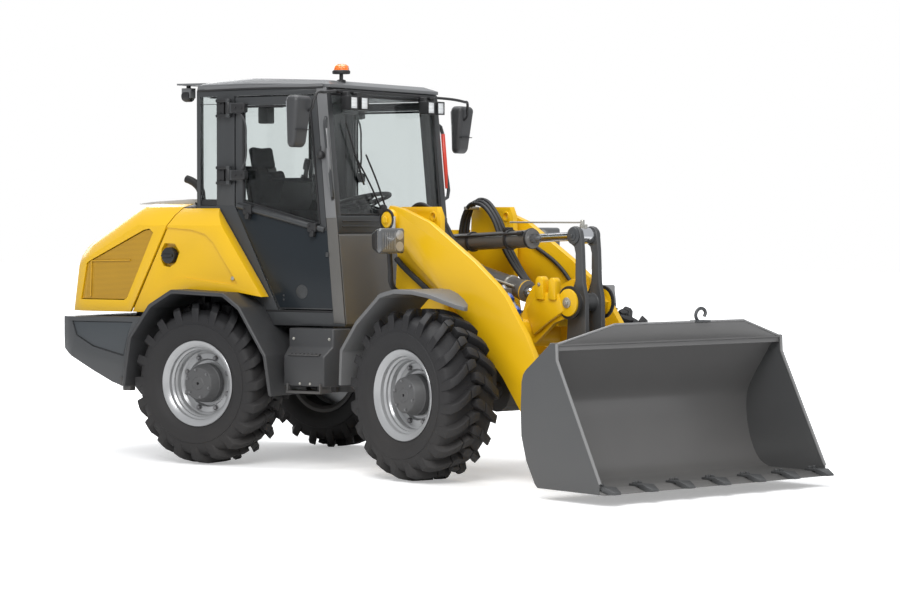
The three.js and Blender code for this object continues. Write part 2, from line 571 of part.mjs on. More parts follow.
function frontFrame() {
  const lugs = [[FORK.lowHigh + 6, FORK.lowHigh + 44], [FORK.topLow - 44, FORK.topLow - 6]].map(
    ([z0, z1]) => prism('z', clevisPlate(BODY_REAR + 10, 230, -1), z0, z1));
  const body = prism('y', [[BODY_REAR, FORK.lowHigh + 6], [BODY_REAR + 90, FORK.lowHigh + 6],
    [1700, FRONT_LOW], [2420, FRONT_LOW], [2420, 760], [1900, 900], [BODY_REAR, 900]], -255, 255);
  const hollow = block(BODY_REAR + 40, 2380, -215, 215, FORK.lowHigh + 50, 1000);
  const floor = block(1650, 2420, -255, 255, FRONT_LOW, FRONT_LOW + 30);
  const tower = prism('y', [[1330, 860], [1900, 860], [1830, 1180], [1822, 1650], [1790, 1712],
    [1420, 1712], [1400, 1690], [1390, 1500]], TOWER_INNER, TOWER_INNER + TOWER_THICK);
  const liftingEye = boss([1752, 1650], 200, 400, 24, 16);
  const web = block(1330, 1900, 215, TOWER_INNER + TOWER_THICK, 760, 900);
  const tiePlate = block(1345, 1375, -TOWER_INNER - 10, TOWER_INNER + 10, 880, 1250);
  const liftEars = [LIFT_EAR, -LIFT_EAR - 32].map((y) => prism('y', [[1375 - 20, 1215], [1375 - 20, 1390],
    [LIFT_BASE[0], 1390], [LIFT_BASE[0] + 60, LIFT_BASE[1]], [LIFT_BASE[0], 1270]], y, y + 32));
  const liftShelf = block(1345, 1376, -TOWER_INNER - 10, TOWER_INNER + 10, 1200, 1395);
  const tiltEars = [TILT_EAR, -TILT_EAR - 32].map((y) => prism('y', [[TILT_BASE[0] - 62, TILT_BASE[1]],
    [TILT_BASE[0], TILT_BASE[1] - 62], [1376, 1330], [1376, 1560], [TILT_BASE[0], TILT_BASE[1] + 62]],
  y, y + 32));
  const tiltShelf = block(1345, 1376, -TOWER_INNER - 10, -62, 1300, 1560);
  const tiltShelfLeft = block(1345, 1376, 62, TOWER_INNER + 10, 1300, 1560);
  const steerEars = [-1, 1].map((s) => steeringEar(STEER_EYE[0], STEER_EYE[1] - 50, -250, s));
  const steeringWindow = prism('z', [[BODY_REAR - 10, -100], [1300, -165], [1490, -210], [1490, -300],
    [BODY_REAR - 10, -300]], STEER_Z - EAR_INNER, STEER_Z + EAR_INNER);
  return cut(
    join(cut(body, hollow), floor, ...lugs, bothSides(tower), bothSides(web), tiePlate, liftShelf,
      ...liftEars, ...tiltEars, tiltShelf, tiltShelfLeft, ...steerEars),
    bothSides(liftingEye), steeringWindow,
    bar([PIVOT_X, 0, 300], [PIVOT_X, 0, 1000], PIVOT_PIN_RADIUS + 2 * PIN_FIT, PIVOT_SIDES));
}

const FRONT_ARCH = [[1570, 575], [1582, 800], [1745, 985], [1985, 1165], [2110, 1196], [2390, 1190],
  [2600, 1150], [2740, 1102]];

// Its front end is a lobe that rounds off towards the boom, so that the boom's foot stays clear.
const frontFender = () => {
  const plan = prism('z', [[1500, 548], [2220, 548], [2300, 575], [2400, 660], [2560, 770], [2680, 850],
    [2735, 905], [2735, 945], [2690, FENDER_OUTER + 1], [1500, FENDER_OUTER + 1]], 500, 1300);
  return join(
    fender(FRONT_ARCH, [WHEELBASE, AXLE_Z], 548, FENDER_OUTER).intersect(plan),
    block(1795, 1840, TOWER_INNER + TOWER_THICK + GAP, 560, 994, 1030));
};

function headlight() {
  const lamp = hull([...[560, 585].flatMap((y) => [[1640, y, 1440], [1640, y, 1545]]),
    [1700, 570, 1388], [1700, 570, 1600], [1750, 575, 1400], [1750, 575, 1585], [1750, 760, 1400],
    [1750, 760, 1585], [1690, 755, 1395], [1690, 755, 1595]]);
  const arm = block(1600, 1660, TOWER_INNER + TOWER_THICK + GAP, 600, 1130, 1180);
  const upright = block(1610, 1665, 565, 600, 1130, 1450);
  return join(lamp, arm, upright);
}

// ---------------------------------------------------------------- boom
function boom() {
  const arm = prism('y', [[1395, 1665], [1400, 1590], [1450, 1560], [1690, 1360], [1990, 1150],
    [2280, 905], [2560, 650], [2900, 245], [2990, 205], [3085, 225], [3125, 300], [3080, 385],
    [2985, 520], [2850, 800], [2780, 910], [2585, 1150], [2500, 1222], [2285, 1365], [1840, 1612],
    [1560, 1700], [1440, 1720]], ARM_INNER, ARM_INNER + ARM_THICK);
  const pivotBoss = boss(BOOM_PIVOT, TOWER_INNER + TOWER_THICK + PIN_FIT, ARM_INNER + ARM_THICK + 26, 72);
  const footBoss = boss(BUCKET_PIVOT, ARM_INNER - 24, ARM_INNER + ARM_THICK, 66);
  const crossTube = boss([2420, 915], -ARM_INNER - 1, ARM_INNER + 1, 88, 18);
  const cheek = prism('y', [[2340, 900], [2440, 1130], [2500, 1210], [2600, 1252], [2700, 1245],
    [2740, 1185], [2850, 1180], [2915, 1115], [2880, 1040], [2700, 985], [2525, 850]],
  CHEEK_INNER, CHEEK_INNER + 32);
  return join(bothSides(join(arm, pivotBoss, footBoss, cheek)), crossTube);
}

// Two plates and a tube on the boom's nose, which turn the tilt cylinder's push into the bucket's tilt.
// Each plate has a round head, a slim neck and a wider foot below the tube.
function tiltLever() {
  const [tx, tz] = LEVER_TOP;
  const plate = prism('y', [[tx - 60, tz], [tx - 53, tz + 32], [tx - 31, tz + 53], [tx, tz + 61],
    [tx + 32, tz + 53], [tx + 55, tz + 32], [tx + 66, tz - 10], [2900, 1440], [2910, 1240], [2935, 1140],
    [2938, 850], [2865, 600], [2800, 568], [2742, 612], [2748, 680], [2762, 900], [2772, 1060],
    [2788, 1140], [2814, 1198], [2838, 1250], [2840, 1420], [2826, 1462], [tx - 40, tz - 44]],
  LEVER_INNER, LEVER_INNER + 32);
  const tube = boss(LEVER_PIVOT, PIN_FIT - CHEEK_INNER, CHEEK_INNER - PIN_FIT, 56);
  return join(bothSides(plate), tube);
}

function tiltLink() {
  const [fx, fz] = LEVER_FOOT;
  const [ux, uz] = BUCKET_UPPER_PIN;
  const eyeHalf = LEVER_INNER - PIN_FIT;
  const eyes = [LEVER_FOOT, BUCKET_UPPER_PIN].map((at) => boss(at, -eyeHalf, eyeHalf, 46));
  const along = new THREE.Vector2(ux - fx, uz - fz).normalize();
  const across = [-along.y * 30, along.x * 30];
  const web = prism('y', [[fx + across[0], fz + across[1]], [fx - across[0], fz - across[1]],
    [ux - across[0], uz - across[1]], [ux + across[0], uz + across[1]]], -34, 34);
  const bores = [LEVER_FOOT, BUCKET_UPPER_PIN].map((at) => boss(at, -60, 60, 22));
  return cut(join(...eyes, web), bores);
}

// ---------------------------------------------------------------- cylinders
// Barrel and rod between two (x, z) points at y = 0, the rod's eye at the second point.
// The barrel ends at a share of the closed length.
function cylinder({ base, eye, barrelRadius, rodRadius, share, baseHalf, eyeHalf }) {
  const a = new THREE.Vector3(base[0], 0, base[1]);
  const b = new THREE.Vector3(eye[0], 0, eye[1]);
  const length = a.distanceTo(b);
  const at = (part) => a.clone().lerp(b, part).toArray();
  const barrel = cut(
    join(boss(base, -baseHalf, baseHalf, barrelRadius * 0.9),
      bar(at((barrelRadius * 0.6) / length), at(share), barrelRadius, 16),
      bar(at(share - 30 / length), at(share), barrelRadius + 8, 16)),
    boss(base, -200, 200, barrelRadius * 0.4, 12),
    bar(at(0.12), at(share + 0.05), rodRadius + PIN_FIT, 16));
  const rod = cut(
    join(bar(at(0.22), at(1), rodRadius, 16), boss(eye, -eyeHalf, eyeHalf, rodRadius + 24)),
    boss(eye, -200, 200, rodRadius * 0.55, 12));
  return { barrel, rod };
}

// Steering cylinder: the same, lying flat beside the pivot.
function steeringCylinder() {
  const turn = THREE.MathUtils.degToRad(-ARTICULATION);
  const eyeX = PIVOT_X + (STEER_EYE[0] - PIVOT_X) * Math.cos(turn) - STEER_EYE[1] * Math.sin(turn);
  const eyeY = (STEER_EYE[0] - PIVOT_X) * Math.sin(turn) + STEER_EYE[1] * Math.cos(turn);
  const z = STEER_Z;
  const a = new THREE.Vector3(STEER_BASE[0], STEER_BASE[1], z);
  const b = new THREE.Vector3(eyeX, eyeY, z);
  const at = (share) => a.clone().lerp(b, share).toArray();
  const upright = ([x, y], radius, half) => bar([x, y, z - half], [x, y, z + half], radius, 16);
  const barrel = cut(join(upright(STEER_BASE, 36, EAR_INNER - PIN_FIT), bar(at(0.03), at(0.66), 34, 16)),
    upright(STEER_BASE, 16, 60), bar(at(0.1), at(0.7), 18 + PIN_FIT, 12));
  const rod = cut(join(bar(at(0.3), at(1), 18, 12), upright([eyeX, eyeY], 34, EAR_INNER - RUNNING)),
    upright([eyeX, eyeY], 16, 60));
  return { barrel, rod };
}

// ---------------------------------------------------------------- bucket and quick coupler
const BUCKET_WALL = 16;

function bucket() {
  const outer = [[3617, 915], [3560, 915], [3470, 790], [3345, 610], [3312, 500], [3318, 360],
    [3362, 215], [3430, 110], [3520, 66], [3990, 62]];
  const inner = [[3990, 62 + BUCKET_WALL + 4], [3526, 84], [3444, 126], [3378, 224], [3336, 365],
    [3330, 498], [3360, 600], [3484, 780], [3572, 896], [3617, 896]];
  const skin = prism('y', [...outer, ...inner], -BUCKET_HALF, BUCKET_HALF);
  const side = prism('y', [[3617, 915], [3575, 912], [3342, 735], [3320, 680], [3312, 500], [3318, 360],
    [3362, 215], [3438, 82], [3462, 62], [3990, 62], [3990, 120], [3622, 815]],
  BUCKET_HALF - BUCKET_WALL, BUCKET_HALF);
  const lip = prism('y', [[3880, 62], [4040, 62], [4040, 68], [3960, 92], [3880, 92]],
    -BUCKET_HALF, BUCKET_HALF);
  const guard = hull([[BUCKET_HALF, 900, 3598], [540, 1012, 3676]].flatMap(([y, z, x]) =>
    [[x, -y, z], [x, y, z], [x + 16, -y, z], [x + 16, y, z]]));
  const teeth = Array.from({ length: 7 }, (_, i) => -BUCKET_HALF + 38 + (i * (2 * BUCKET_HALF - 76)) / 6)
    .map((y) => prism('y', [[3985, 62], [4090, 64], [4088, 74], [4020, 104], [3975, 104]], y - 32, y + 32));
  return join(skin, bothSides(side), lip, guard, ...teeth);
}

// Attachment frame on the boom's feet, with the bucket hooked and locked on it.
function quickCoupler() {
  const outer = [[3560, 915], [3470, 790], [3345, 610], [3312, 500], [3318, 360], [3362, 215],
    [3430, 110]].map(([x, z]) => [x - 1.0, z]);
  const upright = prism('y', [[2990, 290], [3050, 236], [3290, 170], [3352, 214],
    ...outer.slice(3, 5).reverse(), [3332, 608], [3290, 640], [3150, 560]], 300, 340);
  const [ux, uz] = BUCKET_UPPER_PIN;
  const ear = prism('y', [[ux - 48, uz - 8], [ux - 30, uz - 42], [ux + 20, uz - 50], [ux + 135, uz - 40],
    [ux + 141, uz + 235], [ux + 95, uz + 235], [ux - 30, uz + 50]], 62, 94);
  const tieTop = block(3255, 3308, -340, 340, 560, 612);
  const tieLow = block(3200, 3260, -340, 340, 215, 275);
  const pivotBoss = boss(BUCKET_PIVOT, 300, ARM_INNER - 24 - PIN_FIT, 60);
  return join(bothSides(join(upright, ear, pivotBoss)), tieTop, tieLow);
}

// ---------------------------------------------------------------- the machine
const lift = cylinder({
  base: LIFT_BASE, eye: LIFT_EYE, barrelRadius: 62, rodRadius: 34, share: 0.8,
  baseHalf: LIFT_EAR - PIN_FIT, eyeHalf: 60,
});
const tilt = cylinder({
  base: TILT_BASE, eye: LEVER_TOP, barrelRadius: 56, rodRadius: 28, share: 0.69,
  baseHalf: TILT_EAR - PIN_FIT, eyeHalf: LEVER_INNER - RUNNING,
});
const steer = steeringCylinder();

const rear = new THREE.Group();
rear.add(
  mesh('rear_frame', rearFrame(), DARK()),
  mesh('counterweight', counterweight(), DARK()),
  mesh('engine_block', engineBlock(), STEEL()),
  mesh('rear_axle', axle(0, SADDLE_LOW), DARK()),
  mesh('hood', hood(), YELLOW()),
  mesh('cowl', cowl(), BLACK()),
  mesh('exhaust_pipe', exhaust(), BLACK()),
  mesh('cab_tub', cabTub(), DARK()),
  mesh('cab_frame', cabFrame(), DARK()),
  mesh('cab_roof', cabRoof(), DARK()),
  mesh('windshield', windshield(), CLEAR()),
  mesh('rear_window', rearGlass(), CLEAR()),
  mesh('seat_base', seatBase(), BLACK()),
  mesh('seat', seat(), CLOTH()),
  mesh('steering_column', steeringColumn(), BLACK()),
  mesh('light_bar', lightBar(), BLACK()),
  mesh('beacon', beacon(), AMBER()),
  mesh('steering_barrel', steer.barrel, DARK()),
  mesh('steering_rod', steer.rod, CHROME()),
  wheel('rear', -1),
  wheel('rear', 1));

const sides = [['left', (piece) => piece], ['right', mirrored]];
for (const [side, place] of sides) {
  rear.add(
    mesh(`${side}_rear_fender`, place(rearFender()), DARK()),
    mesh(`${side}_side_panel`, place(sidePanel()), YELLOW()),
    mesh(`${side}_step_box`, place(stepBox()), DARK()),
    mesh(`${side}_quarter_window`, place(quarterGlass()), CLEAR()),
    mesh(`${side}_door`, place(door()), DARK()),
    mesh(`${side}_door_glass`, place(doorGlass()), CLEAR()),
    mesh(`${side}_mirror`, place(mirror()), BLACK()));
}

const front = new THREE.Group();
front.add(
  mesh('front_frame', frontFrame(), YELLOW()),
  mesh('front_axle', axle(WHEELBASE, FRONT_LOW), DARK()),
  mesh('boom', boom(), YELLOW()),
  mesh('tilt_lever', tiltLever(), DARK()),
  mesh('tilt_link', tiltLink(), DARK()),
  mesh('lift_barrel', lift.barrel, DARK()),
  mesh('lift_rod', lift.rod, CHROME()),
  mesh('tilt_barrel', tilt.barrel, DARK()),
  mesh('tilt_rod', tilt.rod, CHROME()),
  mesh('quick_coupler', quickCoupler(), STEEL()),
  mesh('bucket', bucket(), STEEL()),
  wheel('front', -1),
  wheel('front', 1));
for (const [side, place] of sides) {
  front.add(
    mesh(`${side}_front_fender`, place(frontFender()), DARK()),
    mesh(`${side}_headlight`, place(headlight()), BLACK()));
}

const turn = THREE.MathUtils.degToRad(-ARTICULATION);
front.rotation.z = turn;
front.position.set(PIVOT_X * (1 - Math.cos(turn)), -PIVOT_X * Math.sin(turn), 0);

// The origin is on the ground under the middle of the machine as it stands.
const machine = new THREE.Group();
machine.add(rear, front);
const bounds = new THREE.Box3().setFromObject(machine, true);
machine.position.set(-(bounds.min.x + bounds.max.x) / 2, -(bounds.min.y + bounds.max.y) / 2, -bounds.min.z);

export default machine;
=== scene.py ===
import json
import math

import bmesh
import bpy
from mathutils import Matrix, Vector

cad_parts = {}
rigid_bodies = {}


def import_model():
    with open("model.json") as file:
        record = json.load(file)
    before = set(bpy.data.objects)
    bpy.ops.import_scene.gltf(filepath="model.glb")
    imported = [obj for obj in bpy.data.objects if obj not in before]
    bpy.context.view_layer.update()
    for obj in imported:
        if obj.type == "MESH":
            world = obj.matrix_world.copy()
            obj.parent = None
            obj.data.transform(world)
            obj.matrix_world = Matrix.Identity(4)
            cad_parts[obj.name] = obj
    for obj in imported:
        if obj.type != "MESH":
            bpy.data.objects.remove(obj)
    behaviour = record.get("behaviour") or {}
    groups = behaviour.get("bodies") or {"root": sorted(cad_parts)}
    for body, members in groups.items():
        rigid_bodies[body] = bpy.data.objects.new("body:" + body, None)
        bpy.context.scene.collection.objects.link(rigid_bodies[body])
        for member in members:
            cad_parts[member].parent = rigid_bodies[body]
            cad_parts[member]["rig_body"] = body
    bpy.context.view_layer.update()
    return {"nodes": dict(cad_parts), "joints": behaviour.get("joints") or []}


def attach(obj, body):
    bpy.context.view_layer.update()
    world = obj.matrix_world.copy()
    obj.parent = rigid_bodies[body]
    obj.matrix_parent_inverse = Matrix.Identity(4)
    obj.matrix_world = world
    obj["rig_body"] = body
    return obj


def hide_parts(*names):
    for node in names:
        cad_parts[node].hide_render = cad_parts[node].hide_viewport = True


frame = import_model()
nodes = frame["nodes"]
joints = {j["name"]: j for j in frame["joints"]}

# ================================================================ the set
# A white studio floor and sky with three broad soft lights: high on the camera's side, overhead and
# behind. The camera stands well back, on the machine's right and ahead of it, at eye height.
REAR_HUB = (Vector(joints["left_rear_wheel"]["pos_m"]) + Vector(joints["right_rear_wheel"]["pos_m"])) / 2
PIVOT = Vector(joints["steering"]["pos_m"])
heading = Vector(joints["left_front_wheel"]["axis"])
TURN = math.atan2(-heading.x, heading.y)
REAR = Matrix.Translation((REAR_HUB.x, REAR_HUB.y, 0))
PIVOT_X = PIVOT.x - REAR_HUB.x
FRONT = (Matrix.Translation((PIVOT.x, PIVOT.y, 0)) @ Matrix.Rotation(TURN, 4, "Z")
         @ Matrix.Translation((-PIVOT_X, 0, 0)))

camera_data = bpy.data.cameras.new("camera")
camera_data.lens = 108.05
camera_data.clip_end = 200
camera = bpy.data.objects.new("camera", camera_data)
bpy.context.scene.collection.objects.link(camera)
camera.location = REAR @ Vector((10.75, -15.40, 1.646))
yaw, pitch = math.radians(121.23), math.radians(-1.76)
look = Vector((math.cos(pitch) * math.cos(yaw), math.cos(pitch) * math.sin(yaw), math.sin(pitch)))
camera.rotation_euler = look.to_track_quat("-Z", "Y").to_euler()
bpy.context.scene.camera = camera
bpy.context.scene.view_settings.view_transform = "Standard"


def lamp(name, place, target, size, energy):
    """A square soft light at its place, turned to its target."""
    data = bpy.data.lights.new(name, "AREA")
    data.shape, data.size, data.size_y, data.energy = "RECTANGLE", size, size, energy
    light = bpy.data.objects.new(name, data)
    bpy.context.scene.collection.objects.link(light)
    light.location = place
    light.rotation_euler = (Vector(target) - Vector(place)).to_track_quat("-Z", "Y").to_euler()


lamp("key_light", (5.0, -9.5, 8.5), (0, 0, 0.8), 6.0, 1150)
lamp("top_light", (-1.0, 1.0, 9.5), (0, 0, 0.5), 7.0, 620)
lamp("rear_light", (-9.0, 5.0, 5.5), (0, 0, 1.0), 5.0, 330)


def add(tree, kind, presets=(), **settings):
    """A new shader node with its settings, and with some of its inputs preset."""
    node = tree.nodes.new(kind)
    for key, value in settings.items():
        setattr(node, key, value)
    for socket, value in dict(presets).items():
        node.inputs[socket].default_value = value
    return node


def camera_sees(tree):
    """One where the camera looks straight or through glass, nought for light that bounces."""
    path = add(tree, "ShaderNodeLightPath")
    either = add(tree, "ShaderNodeMath", operation="MAXIMUM")
    tree.links.new(path.outputs["Is Camera Ray"], either.inputs[0])
    tree.links.new(path.outputs["Is Transmission Ray"], either.inputs[1])
    return either.outputs[0]


world = bpy.data.worlds.new("studio")
bpy.context.scene.world = world
world.use_nodes = True
tree = world.node_tree
tree.nodes.clear()
white_sky = add(tree, "ShaderNodeBackground", {0: (1, 1, 1, 1)})
soft_sky = add(tree, "ShaderNodeBackground", {0: (0.95, 0.97, 1, 1), 1: 0.62})
mix = add(tree, "ShaderNodeMixShader")
out = add(tree, "ShaderNodeOutputWorld")
tree.links.new(camera_sees(tree), mix.inputs[0])
tree.links.new(soft_sky.outputs[0], mix.inputs[1])
tree.links.new(white_sky.outputs[0], mix.inputs[2])
tree.links.new(mix.outputs[0], out.inputs[0])

bpy.ops.object.select_all(action="DESELECT")
bpy.ops.mesh.primitive_plane_add(size=120, location=(0, 0, -0.004))
floor = bpy.context.object
floor.name = "studio_floor"
floor_paint = bpy.data.materials.new("studio_paper")
floor_paint.use_nodes = True
tree = floor_paint.node_tree
tree.nodes.clear()
paper = add(tree, "ShaderNodeBsdfDiffuse", {0: (0.86, 0.86, 0.86, 1)})
glow = add(tree, "ShaderNodeEmission", {0: (1, 1, 1, 1)})
ground = add(tree, "ShaderNodeTexCoord")
away = add(tree, "ShaderNodeVectorMath", operation="LENGTH")
fade = add(tree, "ShaderNodeMapRange", {"From Min": 3.0, "From Max": 6.5, "To Min": 0.36, "To Max": 1.0})
both = add(tree, "ShaderNodeAddShader")
mix = add(tree, "ShaderNodeMixShader")
out = add(tree, "ShaderNodeOutputMaterial")
tree.links.new(ground.outputs["Object"], away.inputs[0])
tree.links.new(away.outputs["Value"], fade.inputs["Value"])
tree.links.new(fade.outputs[0], glow.inputs[1])
tree.links.new(paper.outputs[0], both.inputs[0])
tree.links.new(glow.outputs[0], both.inputs[1])
tree.links.new(camera_sees(tree), mix.inputs[0])
tree.links.new(paper.outputs[0], mix.inputs[1])
tree.links.new(both.outputs[0], mix.inputs[2])
tree.links.new(mix.outputs[0], out.inputs[0])
floor.data.materials.append(floor_paint)

# ================================================================ frame, axles and engine
# Welded beams and forks of thick plate, cast axles and an iron engine, all sprayed dark grey.
# They hide behind the wheels, so the solids stay as they are and take a dusty satin paint.


def effect_group(name, inputs, outputs):
    """An empty shader group with these sockets, and its two end nodes."""
    group = bpy.data.node_groups.new(name, "ShaderNodeTree")
    for label, kind, value in inputs:
        socket = group.interface.new_socket(name=label, in_out="INPUT", socket_type=kind)
        socket.default_value = value
    for label, kind in outputs:
        group.interface.new_socket(name=label, in_out="OUTPUT", socket_type=kind)
    enter = group.nodes.new("NodeGroupInput")
    leave = group.nodes.new("NodeGroupOutput")
    return group, enter, leave


# Sprayed finish: colour that drifts a little, a fine orange-peel height, and dust that settles low.
FINISH, enter, leave = effect_group("sprayed_finish", [
    ("Colour", "NodeSocketColor", (0.5, 0.5, 0.5, 1)),
    ("Drift", "NodeSocketFloat", 0.06),
    ("Roughness", "NodeSocketFloat", 0.35),
    ("Grain", "NodeSocketFloat", 260.0),
    ("Dust", "NodeSocketFloat", 0.15),
], [("Colour", "NodeSocketColor"), ("Roughness", "NodeSocketFloat"), ("Height", "NodeSocketFloat")])
place = add(FINISH, "ShaderNodeTexCoord")
broad = add(FINISH, "ShaderNodeTexNoise", {"Scale": 1.7, "Detail": 4})
fine = add(FINISH, "ShaderNodeTexNoise", {"Detail": 3})
swing = add(FINISH, "ShaderNodeMapRange", {"To Min": -1})
bright = add(FINISH, "ShaderNodeMath", {2: 1}, operation="MULTIPLY_ADD")
tone = add(FINISH, "ShaderNodeVectorMath", operation="SCALE")
split = add(FINISH, "ShaderNodeSeparateXYZ")
low = add(FINISH, "ShaderNodeMapRange", {"From Min": 1.1, "From Max": 0.1})
patch = add(FINISH, "ShaderNodeMath", operation="MULTIPLY")
amount = add(FINISH, "ShaderNodeMath", operation="MULTIPLY")
dusty = add(FINISH, "ShaderNodeMix", {"B": (0.23, 0.20, 0.165, 1)}, data_type="RGBA")
rough = add(FINISH, "ShaderNodeMath", {1: 0.35}, operation="MULTIPLY_ADD")
link = FINISH.links.new
link(place.outputs["Object"], broad.inputs["Vector"])
link(place.outputs["Object"], fine.inputs["Vector"])
link(place.outputs["Object"], split.inputs[0])
link(enter.outputs["Grain"], fine.inputs["Scale"])
link(broad.outputs["Fac"], swing.inputs["Value"])
link(swing.outputs[0], bright.inputs[0])
link(enter.outputs["Drift"], bright.inputs[1])
link(enter.outputs["Colour"], tone.inputs[0])
link(bright.outputs[0], tone.inputs["Scale"])
link(split.outputs["Z"], low.inputs["Value"])
link(low.outputs[0], patch.inputs[0])
link(broad.outputs["Fac"], patch.inputs[1])
link(patch.outputs[0], amount.inputs[0])
link(enter.outputs["Dust"], amount.inputs[1])
link(amount.outputs[0], dusty.inputs["Factor"])
link(tone.outputs[0], dusty.inputs["A"])
link(amount.outputs[0], rough.inputs[0])
link(enter.outputs["Roughness"], rough.inputs[2])
link(dusty.outputs["Result"], leave.inputs["Colour"])
link(rough.outputs[0], leave.inputs["Roughness"])
link(fine.outputs["Fac"], leave.inputs["Height"])


def sprayed(name, colour, roughness=0.35, drift=0.05, grain=260, dust=0.15, bump=0.05,
            metallic=0.0, coat=0.0):
    """A material with the sprayed finish, from its colour, gloss, dust and grain."""
    material = bpy.data.materials.new(name)
    material.use_nodes = True
    tree = material.node_tree
    shader = tree.nodes["Principled BSDF"]
    effect = add(tree, "ShaderNodeGroup", {"Colour": (*colour, 1), "Roughness": roughness, "Drift": drift,
                                           "Grain": grain, "Dust": dust}, node_tree=FINISH)
    bumps = add(tree, "ShaderNodeBump", {"Strength": bump, "Distance": 0.002})
    tree.links.new(effect.outputs["Colour"], shader.inputs["Base Color"])
    tree.links.new(effect.outputs["Roughness"], shader.inputs["Roughness"])
    tree.links.new(effect.outputs["Height"], bumps.inputs["Height"])
    tree.links.new(bumps.outputs[0], shader.inputs["Normal"])
    shader.inputs["Metallic"].default_value = metallic
    shader.inputs["Coat Weight"].default_value = coat
    shader.inputs["Coat Roughness"].default_value = 0.12
    return material


def coat(material, *names):
    """Gives plain CAD solids this material."""
    for name in names:
        nodes[name].data.materials.clear()
        nodes[name].data.materials.append(material)


CHASSIS_PAINT = sprayed("chassis_paint", (0.040, 0.041, 0.043), 0.5, dust=0.4, bump=0.12)
CAST_IRON = sprayed("engine_iron", (0.075, 0.075, 0.08), 0.6, dust=0.3, bump=0.3, grain=120)
coat(CHASSIS_PAINT, "rear_frame", "rear_axle", "front_axle", "steering_barrel")
coat(CAST_IRON, "engine_block")


def alone():
    """Leaves edit mode with nothing selected."""
    if bpy.context.object and bpy.context.object.mode != "OBJECT":
        bpy.ops.object.mode_set(mode="OBJECT")
    bpy.ops.object.select_all(action="DESELECT")


def only(piece):
    """Leaves edit mode with this piece alone selected and active."""
    alone()
    piece.select_set(True)
    bpy.context.view_layer.objects.active = piece


def smooth(piece, angle=35):
    """Shades smoothly, with creases where faces meet more sharply than the angle."""
    only(piece)
    bpy.ops.object.shade_smooth_by_angle(angle=math.radians(angle))


def modify(piece, kind, **settings):
    """Adds one modifier with its settings and applies it."""
    only(piece)
    modifier = piece.modifiers.new(kind.lower(), kind)
    for key, value in settings.items():
        setattr(modifier, key, value)
    bpy.ops.object.modifier_apply(modifier=modifier.name)
    return piece


def soften(piece, width, segments=2, angle=30):
    """Rounds the edges that are sharper than the angle."""
    return modify(piece, "BEVEL", width=width, segments=segments, limit_method="ANGLE",
                  angle_limit=math.radians(angle), harden_normals=False)


def settle(piece, name, half, material, body, stands_for=(), angle=35):
    """Puts a finished piece in the machine: half is REAR or FRONT, the layout that it was drawn in."""
    piece.name = piece.data.name = name
    piece.data.transform(half @ piece.matrix_world)
    piece.matrix_world = Matrix.Identity(4)
    if material is not None:
        piece.data.materials.clear()
        piece.data.materials.append(material)
    smooth(piece, angle)
    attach(piece, body)
    if stands_for:
        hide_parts(*stands_for)
    return piece


def solid_copy(node):
    """A welded copy of a CAD solid with its flat faces whole again, ready for edge work."""
    piece = bpy.data.objects.new(node + "_copy", nodes[node].data.copy())
    bpy.context.scene.collection.objects.link(piece)
    only(piece)
    bpy.ops.object.mode_set(mode="EDIT")
    bpy.ops.mesh.select_all(action="SELECT")
    bpy.ops.mesh.remove_doubles(threshold=0.0002)
    bpy.ops.mesh.dissolve_limited(angle_limit=math.radians(1.5))
    bpy.ops.object.mode_set(mode="OBJECT")
    return piece


def edged(node, width, material, segments=2, angle=30, name=None):
    """The CAD solid with its edges broken, standing for the plain one."""
    piece = soften(solid_copy(node), width, segments, angle)
    body = nodes[node]["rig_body"]
    return settle(piece, name or node + "_shell", Matrix.Identity(4), material, body, (node,))


# ================================================================ tyres
# Radial lug tyres of black rubber. The tread's bars run from the shoulder to short hexagonal blocks
# that meet in the middle, and the left and right rows are half a pitch apart.
def rubber(name, colour, roughness):
    """A sprayed material with rubber's weak shine."""
    material = sprayed(name, colour, roughness, drift=0.10, grain=700, dust=0.12, bump=0.25)
    material.node_tree.nodes["Principled BSDF"].inputs["Specular IOR Level"].default_value = 0.35
    return material


TYRE_RUBBER = rubber("tyre_rubber", (0.013, 0.013, 0.0145), 0.62)
TYRE_R, TYRE_HALF, BEAD_R = 0.5375, 0.206, 0.262
CARCASS_R = 0.488
LUGS = 20


def outline_ring(points):
    """A closed ring of points, as a circle primitive whose vertices are moved to their places."""
    alone()
    bpy.ops.mesh.primitive_circle_add(vertices=len(points), fill_type="NOTHING")
    ring = bpy.context.object
    for vertex, point in zip(ring.data.vertices, points):
        vertex.co = point
    return ring


def face_outwards():
    """Turns all the faces of the piece being edited outwards, and leaves edit mode."""
    bpy.ops.mesh.select_all(action="SELECT")
    bpy.ops.mesh.normals_make_consistent(inside=False)
    bpy.ops.object.mode_set(mode="OBJECT")


def spun(points, steps, axis=(0, 1, 0)):
    """A turned piece from a closed outline, spun once round its axis through the origin."""
    ring = outline_ring(points)
    bpy.ops.object.mode_set(mode="EDIT")
    bpy.ops.mesh.select_all(action="SELECT")
    bpy.ops.mesh.spin(steps=steps, angle=2 * math.pi, center=(0, 0, 0), axis=axis)
    bpy.ops.mesh.select_all(action="SELECT")
    bpy.ops.mesh.remove_doubles(threshold=0.00005)
    face_outwards()
    return ring


def carcass_radius(y):
    """The crown of the tyre under its tread, lower towards the shoulders."""
    return CARCASS_R - 0.55 * max(0.0, abs(y) - 0.10) ** 2 / 0.12


def tread_point(y, height):
    """Radius and y of a point that lies this high over the carcass, down the shoulder past the edge."""
    if abs(y) <= TYRE_HALF - 0.016:
        return carcass_radius(y) + height, y
    past = abs(y) - (TYRE_HALF - 0.016)
    base = carcass_radius(TYRE_HALF - 0.016)
    return base - past + height * 0.35, math.copysign(TYRE_HALF - 0.016 + height * 0.35, y)


